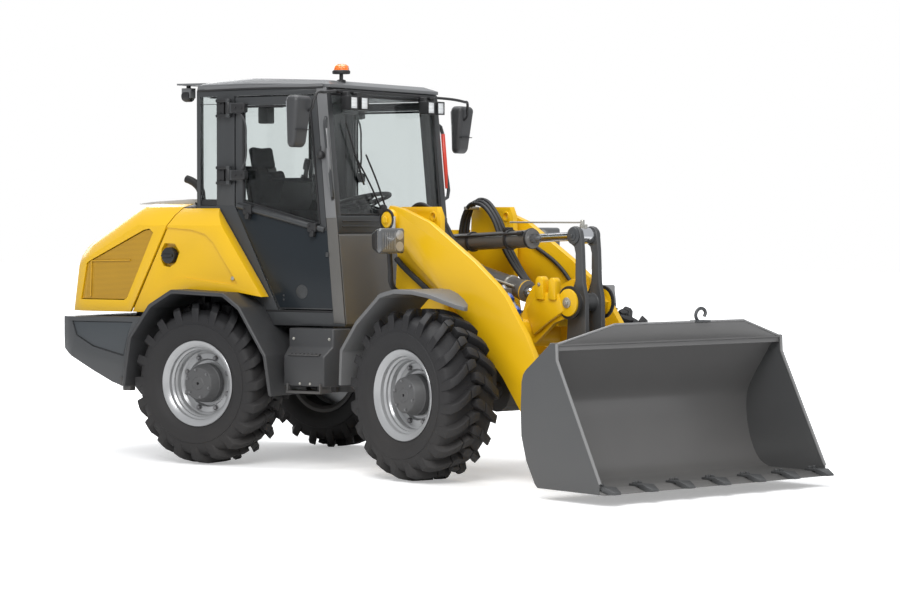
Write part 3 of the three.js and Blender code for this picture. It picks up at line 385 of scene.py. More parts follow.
def tread_bar(stations, pitch_angle):
    """A bar of tread through (y, sideways offset, half width at the root, height) stations."""
    alone()
    bpy.ops.mesh.primitive_cube_add(size=1)
    bar = bpy.context.object
    bpy.ops.object.mode_set(mode="EDIT")
    bpy.ops.mesh.select_all(action="DESELECT")
    mesh = bmesh.from_edit_mesh(bar.data)
    mesh.clear()
    rings = []
    for y, offset, half, height in stations:
        ring = []
        for across, up in ((-1, 0), (-0.72, 1), (0.72, 1), (1, 0)):
            radius, side = tread_point(y, height if up else -0.02)
            angle = (offset + across * half) / CARCASS_R + pitch_angle
            ring.append(mesh.verts.new((radius * math.sin(angle), side, radius * math.cos(angle))))
        rings.append(ring)
    for a, b in zip(rings, rings[1:]):
        for i in range(4):
            mesh.faces.new((a[i], a[(i + 1) % 4], b[(i + 1) % 4], b[i]))
    mesh.faces.new(rings[0])
    mesh.faces.new(rings[-1][::-1])
    bmesh.update_edit_mesh(bar.data)
    face_outwards()
    return bar


def joined(pieces):
    """One mesh from several."""
    alone()
    for piece in pieces:
        piece.select_set(True)
    bpy.context.view_layer.objects.active = pieces[0]
    bpy.ops.object.join()
    return pieces[0]


def copied(piece, matrix=Matrix.Identity(4)):
    """A copy of a piece with its points moved by the matrix."""
    twin = piece.copy()
    twin.data = piece.data.copy()
    bpy.context.scene.collection.objects.link(twin)
    twin.data.transform(matrix)
    return twin


flank = [(0.160, BEAD_R), (0.166, 0.290), (0.186, 0.312), (0.202, 0.352), (0.2055, 0.395), (0.2010, 0.398),
         (0.1995, 0.420), (0.190, 0.452), (0.172, 0.468), (0.120, 0.486), (0.05, CARCASS_R)]
carcass = spun([(0, -y, z) for y, z in flank] + [(0, y, z) for y, z in flank[::-1]], 72)
pitch = 2 * math.pi / LUGS
LUG_H = TYRE_R - CARCASS_R - 0.0005
shoulder_bar = [(0.262, -0.072, 0.036, 0.020), (0.226, -0.066, 0.039, 0.036), (0.190, -0.056, 0.038, 0.052),
                (0.150, -0.034, 0.034, LUG_H + 0.002), (0.100, 0.000, 0.033, LUG_H),
                (0.062, 0.030, 0.036, LUG_H)]
centre_block = [(0.054, 0.034, 0.034, LUG_H), (0.020, 0.052, 0.040, LUG_H), (-0.016, 0.060, 0.028, LUG_H)]
one_bar = soften(joined([tread_bar(shoulder_bar, 0), tread_bar(centre_block, 0)]), 0.0035, 2)
row = []
for i in range(LUGS):
    row.append(copied(one_bar, Matrix.Rotation(i * pitch, 4, "Y")))
    flip = Matrix.Rotation(i * pitch + pitch / 2, 4, "Y") @ Matrix.Scale(-1, 4, (0, 1, 0))
    mirror_bar = copied(one_bar, flip)
    mirror_bar.data.flip_normals()
    row.append(mirror_bar)
bpy.data.objects.remove(one_bar)
tyre_model = joined([carcass, *row])
tyre_model.name = "tyre_model"

# ================================================================ rims and hubs
# Deep-dished steel discs in silver paint, with painted shade over their inner side, held to grey cast
# planetary hubs by a ring of bolts. The tyres of the two axles stand turned by different angles, as on a
# machine that has driven.
RIM_SILVER = sprayed("rim_silver", (0.36, 0.365, 0.37), 0.30, dust=0.08, metallic=0.35, coat=0.3)
HUB_GREY = sprayed("hub_grey", (0.062, 0.064, 0.067), 0.5, dust=0.2, bump=0.2)
BOLT_STEEL = sprayed("bolt_steel", (0.19, 0.19, 0.195), 0.35, metallic=0.7)
rim_model = spun([
    (0, 0.030, 0.06), (0, 0.034, 0.150), (0, 0.050, 0.162), (0, 0.050, 0.196), (0, 0.062, 0.212),
    (0, 0.092, 0.216), (0, 0.104, 0.226), (0, 0.118, 0.2275), (0, 0.128, 0.240), (0, 0.150, 0.244),
    (0, 0.166, 0.262), (0, 0.174, 0.283), (0, 0.170, 0.287), (0, 0.1605, 0.283), (0, 0.158, 0.268),
    (0, 0.140, 0.2612), (0, -0.158, 0.2612), (0, -0.1605, 0.284), (0, -0.174, 0.284),
    (0, -0.172, 0.262), (0, -0.150, 0.240), (0, -0.03, 0.234), (0, 0.018, 0.222), (0, 0.020, 0.150),
    (0, -0.030, 0.142), (0, -0.038, 0.06)], 72)
hub_model = spun([(0, 0.036, 0.010), (0, 0.036, 0.124), (0, 0.048, 0.132), (0, 0.086, 0.130),
                  (0, 0.094, 0.122), (0, 0.150, 0.112), (0, 0.158, 0.104), (0, 0.158, 0.045),
                  (0, 0.162, 0.040), (0, 0.162, 0.010)], 48)


def hex_bolt(place, direction, size, height):
    """A hexagon head on a washer face, its top chamfered."""
    alone()
    bpy.ops.mesh.primitive_cylinder_add(vertices=6, radius=size, depth=height, location=(0, 0, height / 2))
    bolt = bpy.context.object
    bpy.ops.object.transform_apply(location=True)
    bolt = soften(bolt, size * 0.16, 1, 60)
    bpy.ops.mesh.primitive_cylinder_add(vertices=16, radius=size * 1.25, depth=height * 0.24,
                                        location=(0, 0, height * 0.12))
    washer = bpy.context.object
    bpy.ops.object.transform_apply(location=True)
    bolt = joined([bolt, washer])
    turn = Vector(direction).to_track_quat("Z", "Y").to_matrix().to_4x4()
    bolt.data.transform(Matrix.Translation(place) @ turn)
    return bolt


hub_bolts = [hex_bolt((0.092 * math.cos(a), 0.157, 0.092 * math.sin(a)), (0, 1, 0), 0.009, 0.010)
             for a in (math.radians(18 + 60 * k) for k in range(6))]
hub_bolts += [hex_bolt((0.178 * math.cos(a), 0.050, 0.178 * math.sin(a)), (0, 1, 0), 0.015, 0.020)
              for a in (math.radians(22.5 + 45 * k) for k in range(8))]
bolt_model = joined(hub_bolts)
HEADING = {"rear": 0.0, "front": TURN}
TREAD_STANDS_AT = {"rear": 0.11, "front": 0.30}
for end in ("rear", "front"):
    for side, about in (("left", 0.0), ("right", math.pi)):
        body = f"{side}_{end}_wheel"
        hub = Matrix.Translation(joints[body]["pos_m"]) @ Matrix.Rotation(HEADING[end] + about, 4, "Z")
        spin = Matrix.Rotation(TREAD_STANDS_AT[end], 4, "Y")
        settle(copied(tyre_model, spin), f"{side}_{end}_lug_tyre", hub, TYRE_RUBBER, body,
               (f"{side}_{end}_tyre",), 40)
        rim = settle(copied(rim_model), f"{side}_{end}_dished_rim", hub, RIM_SILVER, body,
                     (f"{side}_{end}_rim",), 28)
        # The rim's inner side is silver too; the dark chassis paint on it is painted shade.
        rim.data.materials.append(CHASSIS_PAINT)
        from_hub = hub.inverted()
        for face in rim.data.polygons:
            face.material_index = 1 if (from_hub @ face.center).y < -0.035 else 0
        settle(copied(hub_model), f"{side}_{end}_planetary_hub", hub, HUB_GREY, body)
        settle(copied(bolt_model), f"{side}_{end}_wheel_bolts", hub, BOLT_STEEL, body)
for model in (tyre_model, rim_model, hub_model, bolt_model):
    bpy.data.objects.remove(model)

# ================================================================ counterweight
# One heavy grey casting closes the tail: a ledge on top, a darker panel on each side, rounded corners.
# A towing jaw with its drop pin sits in the middle, and a lamp in each half of the back.
TAIL_GREY = sprayed("tail_grey", (0.046, 0.049, 0.052), 0.42, dust=0.10, coat=0.12)
TAIL_PANEL = sprayed("tail_panel", (0.040, 0.047, 0.053), 0.5, dust=0.12)
RED_LENS = sprayed("red_lens", (0.45, 0.012, 0.008), 0.18, dust=0.02, coat=0.8)


def plate(outline, low, high, across="y"):
    """A flat plate with this outline, extruded across from low to high."""
    lay = {"y": lambda u, v: (u, low, v), "z": lambda u, v: (u, v, low), "x": lambda u, v: (low, u, v)}
    push = {"y": (0, high - low, 0), "z": (0, 0, high - low), "x": (high - low, 0, 0)}
    piece = outline_ring([lay[across](u, v) for u, v in outline])
    bpy.ops.object.mode_set(mode="EDIT")
    bpy.ops.mesh.select_all(action="SELECT")
    bpy.ops.mesh.edge_face_add()
    bpy.ops.mesh.extrude_region_move(TRANSFORM_OT_translate={"value": push[across]})
    face_outwards()
    return piece


def slab(x0, x1, y0, y1, z0, z1, edge=0.004):
    """A plain bar or box with its edges broken."""
    alone()
    bpy.ops.mesh.primitive_cube_add(size=1, location=((x0 + x1) / 2, (y0 + y1) / 2, (z0 + z1) / 2),
                                    scale=(abs(x1 - x0), abs(y1 - y0), abs(z1 - z0)))
    bpy.ops.object.transform_apply(location=True, rotation=True, scale=True)
    return soften(bpy.context.object, edge, 2)


def bar(start, end, radius, sides=24, edge=0.0):
    """A round bar between two points, its rims broken if an edge is given."""
    start, end = Vector(start), Vector(end)
    alone()
    bpy.ops.mesh.primitive_cylinder_add(vertices=sides, radius=radius, depth=(end - start).length,
                                        location=(start + end) / 2,
                                        rotation=(end - start).to_track_quat("Z", "Y").to_euler())
    bpy.ops.object.transform_apply(location=True, rotation=True, scale=True)
    piece = bpy.context.object
    return soften(piece, edge, 2, 50) if edge else piece


def pair(piece, name, half, material, body, stands_for=(), angle=35):
    """The right-hand piece and its mirror image on the left."""
    twin = copied(piece, Matrix.Scale(-1, 4, (0, 1, 0)))
    twin.data.flip_normals()
    for side, made in (("right", piece), ("left", twin)):
        settle(made, f"{side}_{name}", half, material, body.format(side=side),
               [node.format(side=side) for node in stands_for], angle)


def carve(piece, tool, half, operation="DIFFERENCE"):
    """Cuts a closed form, drawn in that half's layout, out of a piece."""
    tool.data.transform(half @ tool.matrix_world)
    tool.matrix_world = Matrix.Identity(4)
    modify(piece, "BOOLEAN", operation=operation, object=tool, solver="EXACT")
    bpy.data.objects.remove(tool)
    return piece


tail = edged("counterweight", 0.014, TAIL_GREY, 3)
for sign in (-1, 1):
    carve(tail, slab(-1.300, -1.2480, sign * 0.630 - 0.074, sign * 0.630 + 0.074, 0.796, 0.904, 0.003),
          REAR)
tail_panel = soften(plate([(-1.076, 0.929), (-0.566, 0.932), (-0.606, 0.862), (-0.646, 0.712),
                           (-0.9, 0.768), (-1.042, 0.838)], -0.883, -0.873), 0.003)
pair(tail_panel, "tail_panel", REAR, TAIL_PANEL, "rear_body")
pocket = joined([slab(-0.66, -0.60, -0.905, -0.86, 0.500, 0.560),
                 slab(-0.64, -0.575, -0.90, -0.84, 0.47, 0.51)])
pair(pocket, "tail_bracket", REAR, CHASSIS_PAINT, "rear_body")
lamp_case = slab(-1.2575, -1.235, -0.70, -0.56, 0.80, 0.90, 0.005)
pair(lamp_case, "tail_lamp_case", REAR, CHASSIS_PAINT, "rear_body")
tail_lens = joined([slab(-1.2615, -1.252, -0.690, -0.628, 0.812, 0.888),
                    slab(-1.2615, -1.252, -0.622, -0.570, 0.812, 0.888)])
pair(tail_lens, "tail_lens", REAR, RED_LENS, "rear_body")
jaw = joined([slab(-1.20, -1.08, -0.07, 0.07, 0.70, 0.725), slab(-1.20, -1.08, -0.07, 0.07, 0.79, 0.815),
              slab(-1.10, -1.078, -0.11, 0.11, 0.66, 0.855),
              bar((-1.165, 0, 0.67), (-1.165, 0, 0.86), 0.016, 16, 0.003),
              bar((-1.165, 0, 0.845), (-1.165, 0, 0.86), 0.028, 16, 0.003)])
settle(jaw, "towing_jaw", REAR, CAST_IRON, "rear_body")

# ================================================================ hood
# A moulded yellow hood with rounded shoulders lifts about a hinge at the cab.
# Ochre mesh, its holes painted as darker dots of shade, fills a window in each side, and black slats close
# the back for the fan.
YELLOW = sprayed("yellow_paint", (0.72, 0.425, 0.005), 0.32, drift=0.04, dust=0.03, coat=0.18)
PALE_GREY = sprayed("pale_cover", (0.42, 0.43, 0.44), 0.4, dust=0.05)
BLACK = sprayed("black_plastic", (0.014, 0.014, 0.015), 0.48, dust=0.1, bump=0.2, grain=900)
MESH_OCHRE = sprayed("ochre_mesh", (0.50, 0.275, 0.010), 0.45, drift=0.06, dust=0.05)
tree = MESH_OCHRE.node_tree
# Darker ochre dots in a grid stand for the perforations: painted shade seen through the holes.
where = add(tree, "ShaderNodeTexCoord")
holes = add(tree, "ShaderNodeTexVoronoi", {"Scale": 120, "Randomness": 0.0}, voronoi_dimensions="3D")
dot = add(tree, "ShaderNodeMapRange", {"From Min": 0.30, "From Max": 0.42})
dark = add(tree, "ShaderNodeMix", {"A": (0.20, 0.105, 0.006, 1)}, data_type="RGBA")
tree.links.new(where.outputs["Object"], holes.inputs["Vector"])
tree.links.new(holes.outputs["Distance"], dot.inputs["Value"])
tree.links.new(dot.outputs[0], dark.inputs["Factor"])
shader = tree.nodes["Principled BSDF"]
tree.links.new(shader.inputs["Base Color"].links[0].from_socket, dark.inputs["B"])
tree.links.new(dark.outputs["Result"], shader.inputs["Base Color"])

GRILLE = [(-1.100, 1.086), (-1.040, 1.326), (-0.540, 1.553), (-0.495, 1.560), (-0.470, 1.540),
          (-0.690, 1.104), (-0.712, 1.086)]
grille_sheet = solid_copy("hood")
carve(grille_sheet, plate(GRILLE, -1.0, 1.0), REAR, "INTERSECT")
for vertex in grille_sheet.data.vertices:
    side = 1 if vertex.co.y > REAR_HUB.y else -1
    vertex.co.y -= side * 0.011
settle(grille_sheet, "hood_mesh_windows", Matrix.Identity(4), MESH_OCHRE, "hood")
hood_shell = solid_copy("hood")
carve(hood_shell, plate([(-1.106, 1.080), (-1.045, 1.330), (-0.544, 1.559), (-0.494, 1.567),
                         (-0.462, 1.541), (-0.683, 1.101), (-0.710, 1.080)], -1.0, 1.0), REAR)
soften(hood_shell, 0.010, 3, 28)
settle(hood_shell, "hood_shell", Matrix.Identity(4), YELLOW, "hood", ("hood",))
ribs = joined([bar((-1.005, -0.784, 1.10), (-0.998, -0.784, 1.342), 0.007, 12),
               bar((-0.995, -0.784, 1.345), (-0.66, -0.784, 1.352), 0.006, 12)])
pair(ribs, "mesh_stiffeners", REAR, MESH_OCHRE, "hood")
slats = [slab(-1.198 + 0.11 * (z - 1.0), -1.172 + 0.11 * (z - 1.0), -0.50, 0.50, z, z + 0.018, 0.003)
         for z in (1.075 + 0.034 * k for k in range(9))]
fan_frame = [slab(-1.194 + 0.11 * (z - 1.0), -1.165 + 0.11 * (z - 1.0), -0.53, 0.53, z, z + 0.016)
             for z in (1.05, 1.385)]
settle(joined(slats + fan_frame), "fan_slats", REAR, BLACK, "hood")
hood_handle = slab(-1.190, -1.150, -0.09, 0.09, 1.018, 1.042, 0.006)
settle(hood_handle, "hood_handle", REAR, BLACK, "hood")
top_cover = soften(plate([(-0.80, 1.738), (-0.68, 1.752), (-0.36, 1.768), (-0.30, 1.768),
                          (-0.30, 1.736), (-0.80, 1.734)], -0.50, 0.50), 0.006, 3)
settle(top_cover, "air_intake_cover", REAR, PALE_GREY, "hood")

# ================================================================ side panels
# Deep yellow pressings fixed beside the cab, their middle set back, with a lip over the wheel arch.
# The right one holds the fuel filler in an eight-sided well.
RELIEF = [(-0.72, 1.0), (-0.345, 1.575), (-0.14, 1.56), (-0.025, 1.530), (0.035, 1.480), (0.190, 1.268),
          (0.238, 1.205), (0.190, 1.196), (-0.20, 1.236), (-0.29, 1.224), (-0.49, 1.110), (-0.53, 0.98)]
WELL = [(-0.405, 1.36), (-0.401, 1.428), (-0.375, 1.469), (-0.287, 1.465), (-0.249, 1.409), (-0.281, 1.338),
        (-0.335, 1.306), (-0.385, 1.318)]
for side, sign in (("right", -1), ("left", 1)):
    panel = solid_copy(f"{side}_side_panel")
    low, high = sorted((sign * 0.776, sign * 0.85))
    carve(panel, plate(RELIEF, low, high), REAR)
    if sign < 0:
        carve(panel, plate(WELL, -0.80, -0.735), REAR)
    soften(panel, 0.009, 3, 28)
    settle(panel, f"{side}_panel_pressing", Matrix.Identity(4), YELLOW, "rear_body",
           (f"{side}_side_panel",))
cap = joined([bar((-0.335, -0.742, 1.386), (-0.335, -0.796, 1.386), 0.055, 32, 0.008),
              slab(-0.382, -0.288, -0.812, -0.790, 1.376, 1.396, 0.008)])
settle(cap, "filler_cap", REAR, BLACK, "rear_body")
PALE_STEEL = sprayed("zinc_steel", (0.45, 0.44, 0.40), 0.32, metallic=0.7, dust=0.05)
panel_button = bar((0.201, -0.786, 1.238), (0.201, -0.796, 1.238), 0.013, 16, 0.003)
pair(panel_button, "panel_button", REAR, PALE_STEEL, "rear_body")

# ================================================================ cowl and exhaust
# A black panel fills the gap between hood and cab, and the tailpipe elbow rises through it.
edged("cowl", 0.004, BLACK)


def pipe(points, radius, sides=4, steps=8):
    """A bent tube, hose or rail through its points, drawn as a curve and made solid."""
    run = bpy.data.curves.new("run", "CURVE")
    run.dimensions, run.bevel_depth, run.bevel_resolution = "3D", radius, sides
    run.use_fill_caps, run.resolution_u = True, steps
    line = run.splines.new("BEZIER")
    line.bezier_points.add(len(points) - 1)
    for knot, point in zip(line.bezier_points, points):
        knot.co = point
        knot.handle_left_type = knot.handle_right_type = "AUTO"
    piece = bpy.data.objects.new("run", run)
    bpy.context.scene.collection.objects.link(piece)
    only(piece)
    bpy.ops.object.convert(target="MESH")
    return bpy.context.object


SOOTY = sprayed("exhaust_steel", (0.020, 0.019, 0.018), 0.55, dust=0.2, bump=0.2, metallic=0.3)
tailpipe = joined([
    pipe([(-0.202, -0.59, 1.737), (-0.202, -0.59, 1.79), (-0.212, -0.59, 1.83), (-0.245, -0.59, 1.868),
          (-0.290, -0.59, 1.893), (-0.326, -0.59, 1.905)], 0.027, 6),
    bar((-0.202, -0.59, 1.736), (-0.202, -0.59, 1.746), 0.046, 24, 0.003),
    bar((-0.202, -0.59, 1.746), (-0.202, -0.59, 1.775), 0.0295, 24, 0.003)])
settle(tailpipe, "tailpipe_elbow", REAR, SOOTY, "rear_body", ("exhaust_pipe",))

# ================================================================ rear fenders
# Bent bands of thick dark plastic over the rear wheels, their outer edge chamfered all along.
FENDER_GREY = sprayed("fender_grey", (0.034, 0.035, 0.037), 0.45, dust=0.10, bump=0.15, grain=600)
for side in ("right", "left"):
    edged(f"{side}_rear_fender", 0.011, FENDER_GREY, 2, 20)

# ================================================================ step boxes
# The tank and battery boxes beside the hinge double as the way up: a tread on the bulge and one below.
for side in ("right", "left"):
    edged(f"{side}_step_box", 0.010, FENDER_GREY, 2, 25)
treads = [slab(0.70, 0.94, -0.866, -0.80, 0.742, 0.752, 0.002)]
treads += [slab(0.705 + 0.032 * k, 0.720 + 0.032 * k, -0.862, -0.806, 0.752, 0.758, 0.001)
           for k in range(8)]
pair(joined(treads), "step_tread", REAR, CHASSIS_PAINT, "rear_body")
lower_step = joined([slab(0.69, 0.96, -0.880, -0.74, 0.496, 0.512, 0.003),
                     slab(0.69, 0.704, -0.876, -0.75, 0.51, 0.56),
                     slab(0.946, 0.96, -0.876, -0.75, 0.51, 0.56)])
pair(lower_step, "lower_step", REAR, CHASSIS_PAINT, "rear_body")
box_bolts = [hex_bolt((x, -0.800, 0.85), (0, -1, 0), 0.008, 0.008) for x in (0.70, 0.98)]
box_bolts += [hex_bolt((x, -0.862, 0.56), (0, -1, 0), 0.007, 0.006) for x in (0.79, 0.87)]
pair(joined(box_bolts), "step_box_bolts", REAR, PALE_STEEL, "rear_body")

# ================================================================ cab shell
# A welded cab of folded sheet and square tube: dark tub and pillars, lighter front posts and nose panel.
# Green-tinted safety glass is bonded in all round, and the roof is one moulding with a silver lip.
CAB_DARK = sprayed("cab_dark", (0.034, 0.036, 0.038), 0.40, dust=0.06, coat=0.12)
CAB_SILVER = sprayed("post_silver", (0.155, 0.157, 0.160), 0.38, dust=0.05, metallic=0.25, coat=0.3)
NOSE_GREY = sprayed("nose_panel", (0.095, 0.091, 0.084), 0.36, dust=0.12, coat=0.3)
ROOF_GREY = sprayed("roof_moulding", (0.125, 0.128, 0.131), 0.36, dust=0.05, coat=0.3)


def nose_x(z):
    """Where the cab's leaning front face stands at this height."""
    return 1.030 - 0.146 * (z - 0.930) / 1.565


def clear(name, colour, roughness=0.01):
    """Thin tinted glass that lets the view through."""
    material = sprayed(name, colour, roughness, drift=0.01, dust=0.02, bump=0.0)
    shader = material.node_tree.nodes["Principled BSDF"]
    shader.inputs["Transmission Weight"].default_value = 1
    shader.inputs["IOR"].default_value = 1.25
    return material


GLASS = clear("cab_glass", (0.78, 0.815, 0.812))
coat(GLASS, "windshield", "rear_window", "left_quarter_window", "right_quarter_window",
     "left_door_glass", "right_door_glass")
edged("cab_tub", 0.008, CAB_DARK, 2)
edged("cab_frame", 0.005, CAB_DARK, 2, 40)
edged("cab_roof", 0.016, ROOF_GREY, 3, 12)
roof_lip = slab(-0.10, 0.86, -0.697, -0.686, 2.500, 2.522, 0.004)
pair(roof_lip, "roof_lip", REAR, CAB_SILVER, "rear_body")
nose_panel = plate([(nose_x(1.535) + 0.001, 1.535), (nose_x(1.535) + 0.010, 1.525),
                    (nose_x(0.945) + 0.010, 0.945), (nose_x(0.945) + 0.001, 0.945)], -0.684, 0.684)
soften(nose_panel, 0.004)
settle(nose_panel, "nose_panel", REAR, NOSE_GREY, "rear_body")
band = [soften(plate([(nose_x(1.655) + 0.001, 1.655), (nose_x(1.655) + 0.007, 1.650),
                      (nose_x(1.543) + 0.007, 1.543), (nose_x(1.543) + 0.001, 1.543)],
                     -0.684, 0.684), 0.003)]
for z in (1.585, 1.620):
    band.append(slab(nose_x(z) - 0.004, nose_x(z) + 0.014, -0.640, 0.640, z - 0.005, z + 0.005, 0.003))
settle(joined(band), "nose_band", REAR, CAB_DARK, "rear_body")
post = plate([(nose_x(1.64) - 0.080, 1.640), (nose_x(1.64) + 0.002, 1.640),
              (nose_x(2.49) + 0.002, 2.490), (nose_x(2.49) - 0.076, 2.490)], -0.696, -0.689)
soften(post, 0.003)
pair(post, "front_post_cover", REAR, CAB_SILVER, "rear_body")
cheek_cover = plate([(nose_x(1.64) - 0.078, 1.640), (nose_x(1.64) + 0.004, 1.640),
                     (nose_x(0.95) + 0.004, 0.950), (nose_x(0.95) - 0.084, 0.950)], -0.696, -0.689)
soften(cheek_cover, 0.003)
pair(cheek_cover, "front_corner_cover", REAR, NOSE_GREY, "rear_body")
seals = []
for y in (-0.632, 0.632):
    seals.append(bar((nose_x(1.67) - 0.012, y, 1.668), (nose_x(2.45) - 0.012, y, 2.448), 0.007, 12))
for z in (1.664, 2.449):
    seals.append(bar((nose_x(z) - 0.012, -0.632, z), (nose_x(z) - 0.012, 0.632, z), 0.007, 12))
for y in (-0.645, 0.645):
    seals.append(bar((-0.158, y, 1.728), (-0.158, y, 2.448), 0.006, 12))
seals.append(bar((-0.158, -0.645, 1.728), (-0.158, 0.645, 1.728), 0.006, 12))
settle(joined(seals), "window_seals", REAR, BLACK, "rear_body")
quarter_lines = joined([slab(-0.135, -0.004, -0.682, -0.677, 2.40, 2.404, 0.001),
                        slab(-0.135, -0.004, -0.684, -0.676, 1.724, 1.760, 0.002)])
pair(quarter_lines, "quarter_window_trim", REAR, BLACK, "rear_body")
rain_channel = pipe([(-0.15, -0.692, 2.495), (0.40, -0.694, 2.500), (0.86, -0.690, 2.492)], 0.007, 3)
pair(rain_channel, "rain_channel", REAR, BLACK, "rear_body")
inner_trim = joined([slab(-0.12, 0.80, -0.60, 0.60, 2.446, 2.452, 0.002),
                     slab(-0.122, -0.112, -0.46, 0.46, 1.00, 1.70, 0.003)])
settle(inner_trim, "cab_lining", REAR, BLACK, "rear_body")

# ================================================================ operator's place
# A sprung seat in dark cloth with a headrest, a console with its lever on the right, a dash and column.
# The cushions are foam in sewn covers, puffed by a short cloth run with their movement capped.
SEAT_CLOTH = sprayed("seat_cloth", (0.020, 0.021, 0.024), 0.85, drift=0.15, grain=1500, dust=0.0, bump=0.6)


def stuffed(piece, name, place, cap):
    """A foam pad: remeshed finely, blown up a little as cloth, and set in its place."""
    only(piece)
    piece.data.remesh_voxel_size = 0.007
    bpy.ops.object.voxel_remesh()
    rest = [vertex.co.copy() for vertex in piece.data.vertices]
    cloth = piece.modifiers.new("puff", "CLOTH")
    cloth.settings.use_pressure = True
    cloth.settings.uniform_pressure_force = 4
    cloth.settings.effector_weights.gravity = 0
    for frame_number in range(1, 21):
        bpy.context.scene.frame_set(frame_number)
    puffed = piece.evaluated_get(bpy.context.evaluated_depsgraph_get()).data
    moved = [vertex.co.copy() for vertex in puffed.vertices]
    piece.modifiers.remove(cloth)
    bpy.context.scene.frame_set(1)
    for vertex, old, new in zip(piece.data.vertices, rest, moved):
        step = new - old
        vertex.co = old + step * min(1.0, cap / max(step.length, 1e-6))
    modify(piece, "SUBSURF", levels=1, render_levels=1)
    piece.data.transform(place)
    settle(piece, name, REAR, SEAT_CLOTH, "rear_body")
    return piece


def pad_shape(length, width, depth, round_off):
    """A block of foam with rounded edges, before it is covered."""
    alone()
    bpy.ops.mesh.primitive_cube_add(size=1, scale=(length, width, depth))
    bpy.ops.object.transform_apply(scale=True)
    return soften(bpy.context.object, round_off, 4)


recline = Matrix.Rotation(math.radians(-12), 4, "Y")
seat_pad = stuffed(pad_shape(0.44, 0.42, 0.075, 0.030), "seat_cushion",
                   Matrix.Translation((0.215, 0, 1.500)), 0.022)
stuffed(pad_shape(0.070, 0.40, 0.44, 0.028), "seat_back",
        Matrix.Translation((-0.045, 0, 1.765)) @ recline, 0.022)
stuffed(pad_shape(0.060, 0.24, 0.15, 0.024), "seat_headrest",
        Matrix.Translation((-0.115, 0, 2.055)) @ recline, 0.016)
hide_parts("seat")
for side, y in (("right", -0.225), ("left", 0.225)):
    stuffed(pad_shape(0.40, 0.055, 0.10, 0.022), f"{side}_seat_bolster",
            Matrix.Translation((0.215, y, 1.515)), 0.014)
pan = joined([slab(-0.03, 0.44, -0.20, 0.20, 1.442, 1.462, 0.006),
              bar((-0.10, -0.06, 1.93), (-0.115, -0.06, 2.02), 0.008, 12),
              bar((-0.10, 0.06, 1.93), (-0.115, 0.06, 2.02), 0.008, 12)])
shell_back = slab(-0.03, 0.0, -0.19, 0.19, -0.25, 0.24, 0.012)
shell_back.data.transform(Matrix.Translation((-0.075, 0, 1.765)) @ recline)
settle(joined([pan, shell_back]), "seat_pan", REAR, BLACK, "rear_body")
edged("seat_base", 0.006, BLACK)
boot_rings = [bar((0.19, 0, 1.16 + 0.035 * k), (0.19, 0, 1.178 + 0.035 * k),
                  0.205 - 0.012 * (k % 2), 32, 0.006) for k in range(7)]
settle(joined(boot_rings), "suspension_boot", REAR, BLACK, "rear_body")
grip = joined([pipe([(0.455, -0.31, 1.885), (0.462, -0.31, 1.94), (0.470, -0.31, 1.975)], 0.013, 4),
               pipe([(0.468, -0.31, 1.965), (0.474, -0.31, 2.00), (0.486, -0.31, 2.035)], 0.024, 5)])
settle(grip, "control_lever", REAR, BLACK, "rear_body")
lever_boot = [bar((0.448 + 0.002 * k, -0.31, 1.884 + 0.012 * k),
                  (0.450 + 0.002 * k, -0.31, 1.892 + 0.012 * k),
                  0.036 - 0.004 * k, 20, 0.003) for k in range(4)]
settle(joined(lever_boot), "lever_boot", REAR, BLACK, "rear_body")
arm_pad = slab(0.20, 0.49, -0.36, -0.27, 1.885, 1.910, 0.010)
settle(arm_pad, "arm_rest", REAR, SEAT_CLOTH, "rear_body")
lean = Vector((-0.185, 0, 0.760)).normalized()
tilt_to = Matrix.Translation((0.720, 0, 1.760)) @ lean.to_track_quat("Z", "X").to_matrix().to_4x4()
alone()
bpy.ops.mesh.primitive_torus_add(major_radius=0.184, minor_radius=0.0145, major_segments=56,
                                 minor_segments=14)
wheel_rim = bpy.context.object
wheel_parts = [wheel_rim, bar((0, 0, -0.035), (0, 0, 0.012), 0.052, 32, 0.008)]
for k in range(3):
    a = math.radians(90 + 120 * k)
    wheel_parts.append(pipe([(0.04 * math.cos(a), 0.04 * math.sin(a), -0.010),
                             (0.11 * math.cos(a), 0.11 * math.sin(a), -0.014),
                             (0.18 * math.cos(a), 0.18 * math.sin(a), 0)], 0.010, 4))
steering_wheel = joined(wheel_parts)
steering_wheel.data.transform(tilt_to)
settle(steering_wheel, "steering_wheel", REAR, BLACK, "rear_body")
COLUMN_FOOT, COLUMN_NECK = Vector((0.905, 0, 1.0)), Vector((0.738, 0, 1.69))
column = [bar(COLUMN_FOOT, COLUMN_NECK, 0.048, 24, 0.006),
          bar(COLUMN_NECK, (0.724, 0, 1.745), 0.038, 24, 0.004)]
for k in range(8):
    low = COLUMN_FOOT + lean * (0.05 + 0.040 * k)
    column.append(bar(low, low + lean * 0.022, 0.080 - 0.003 * k, 28, 0.007))
column.append(slab(0.84, 0.955, -0.08, 0.08, 0.981, 1.006, 0.006))
column.append(pipe([(0.735, 0.03, 1.70), (0.74, 0.12, 1.735), (0.745, 0.20, 1.765)], 0.008, 4))
settle(joined(column), "steering_post", REAR, BLACK, "rear_body", ("steering_column",))
dash = soften(plate([(0.79, 1.50), (0.82, 1.645), (0.93, 1.665), (0.945, 1.40), (0.88, 1.38)],
                    -0.34, 0.34), 0.014, 3)
screen = slab(0.70, 0.72, -0.58, -0.42, 1.80, 1.93, 0.006)
screen_arm = pipe([(0.72, -0.50, 1.86), (0.80, -0.56, 1.84), (0.86, -0.62, 1.80)], 0.010, 4)
settle(joined([dash, screen, screen_arm]), "dash_and_display", REAR, BLACK, "rear_body")
sensor = joined([slab(0.000, 0.165, -0.25, -0.13, 2.395, 2.448, 0.008),
                 slab(0.015, 0.095, -0.235, -0.145, 2.285, 2.400, 0.010)])
settle(sensor, "radio_and_fan_box", REAR, BLACK, "rear_body")
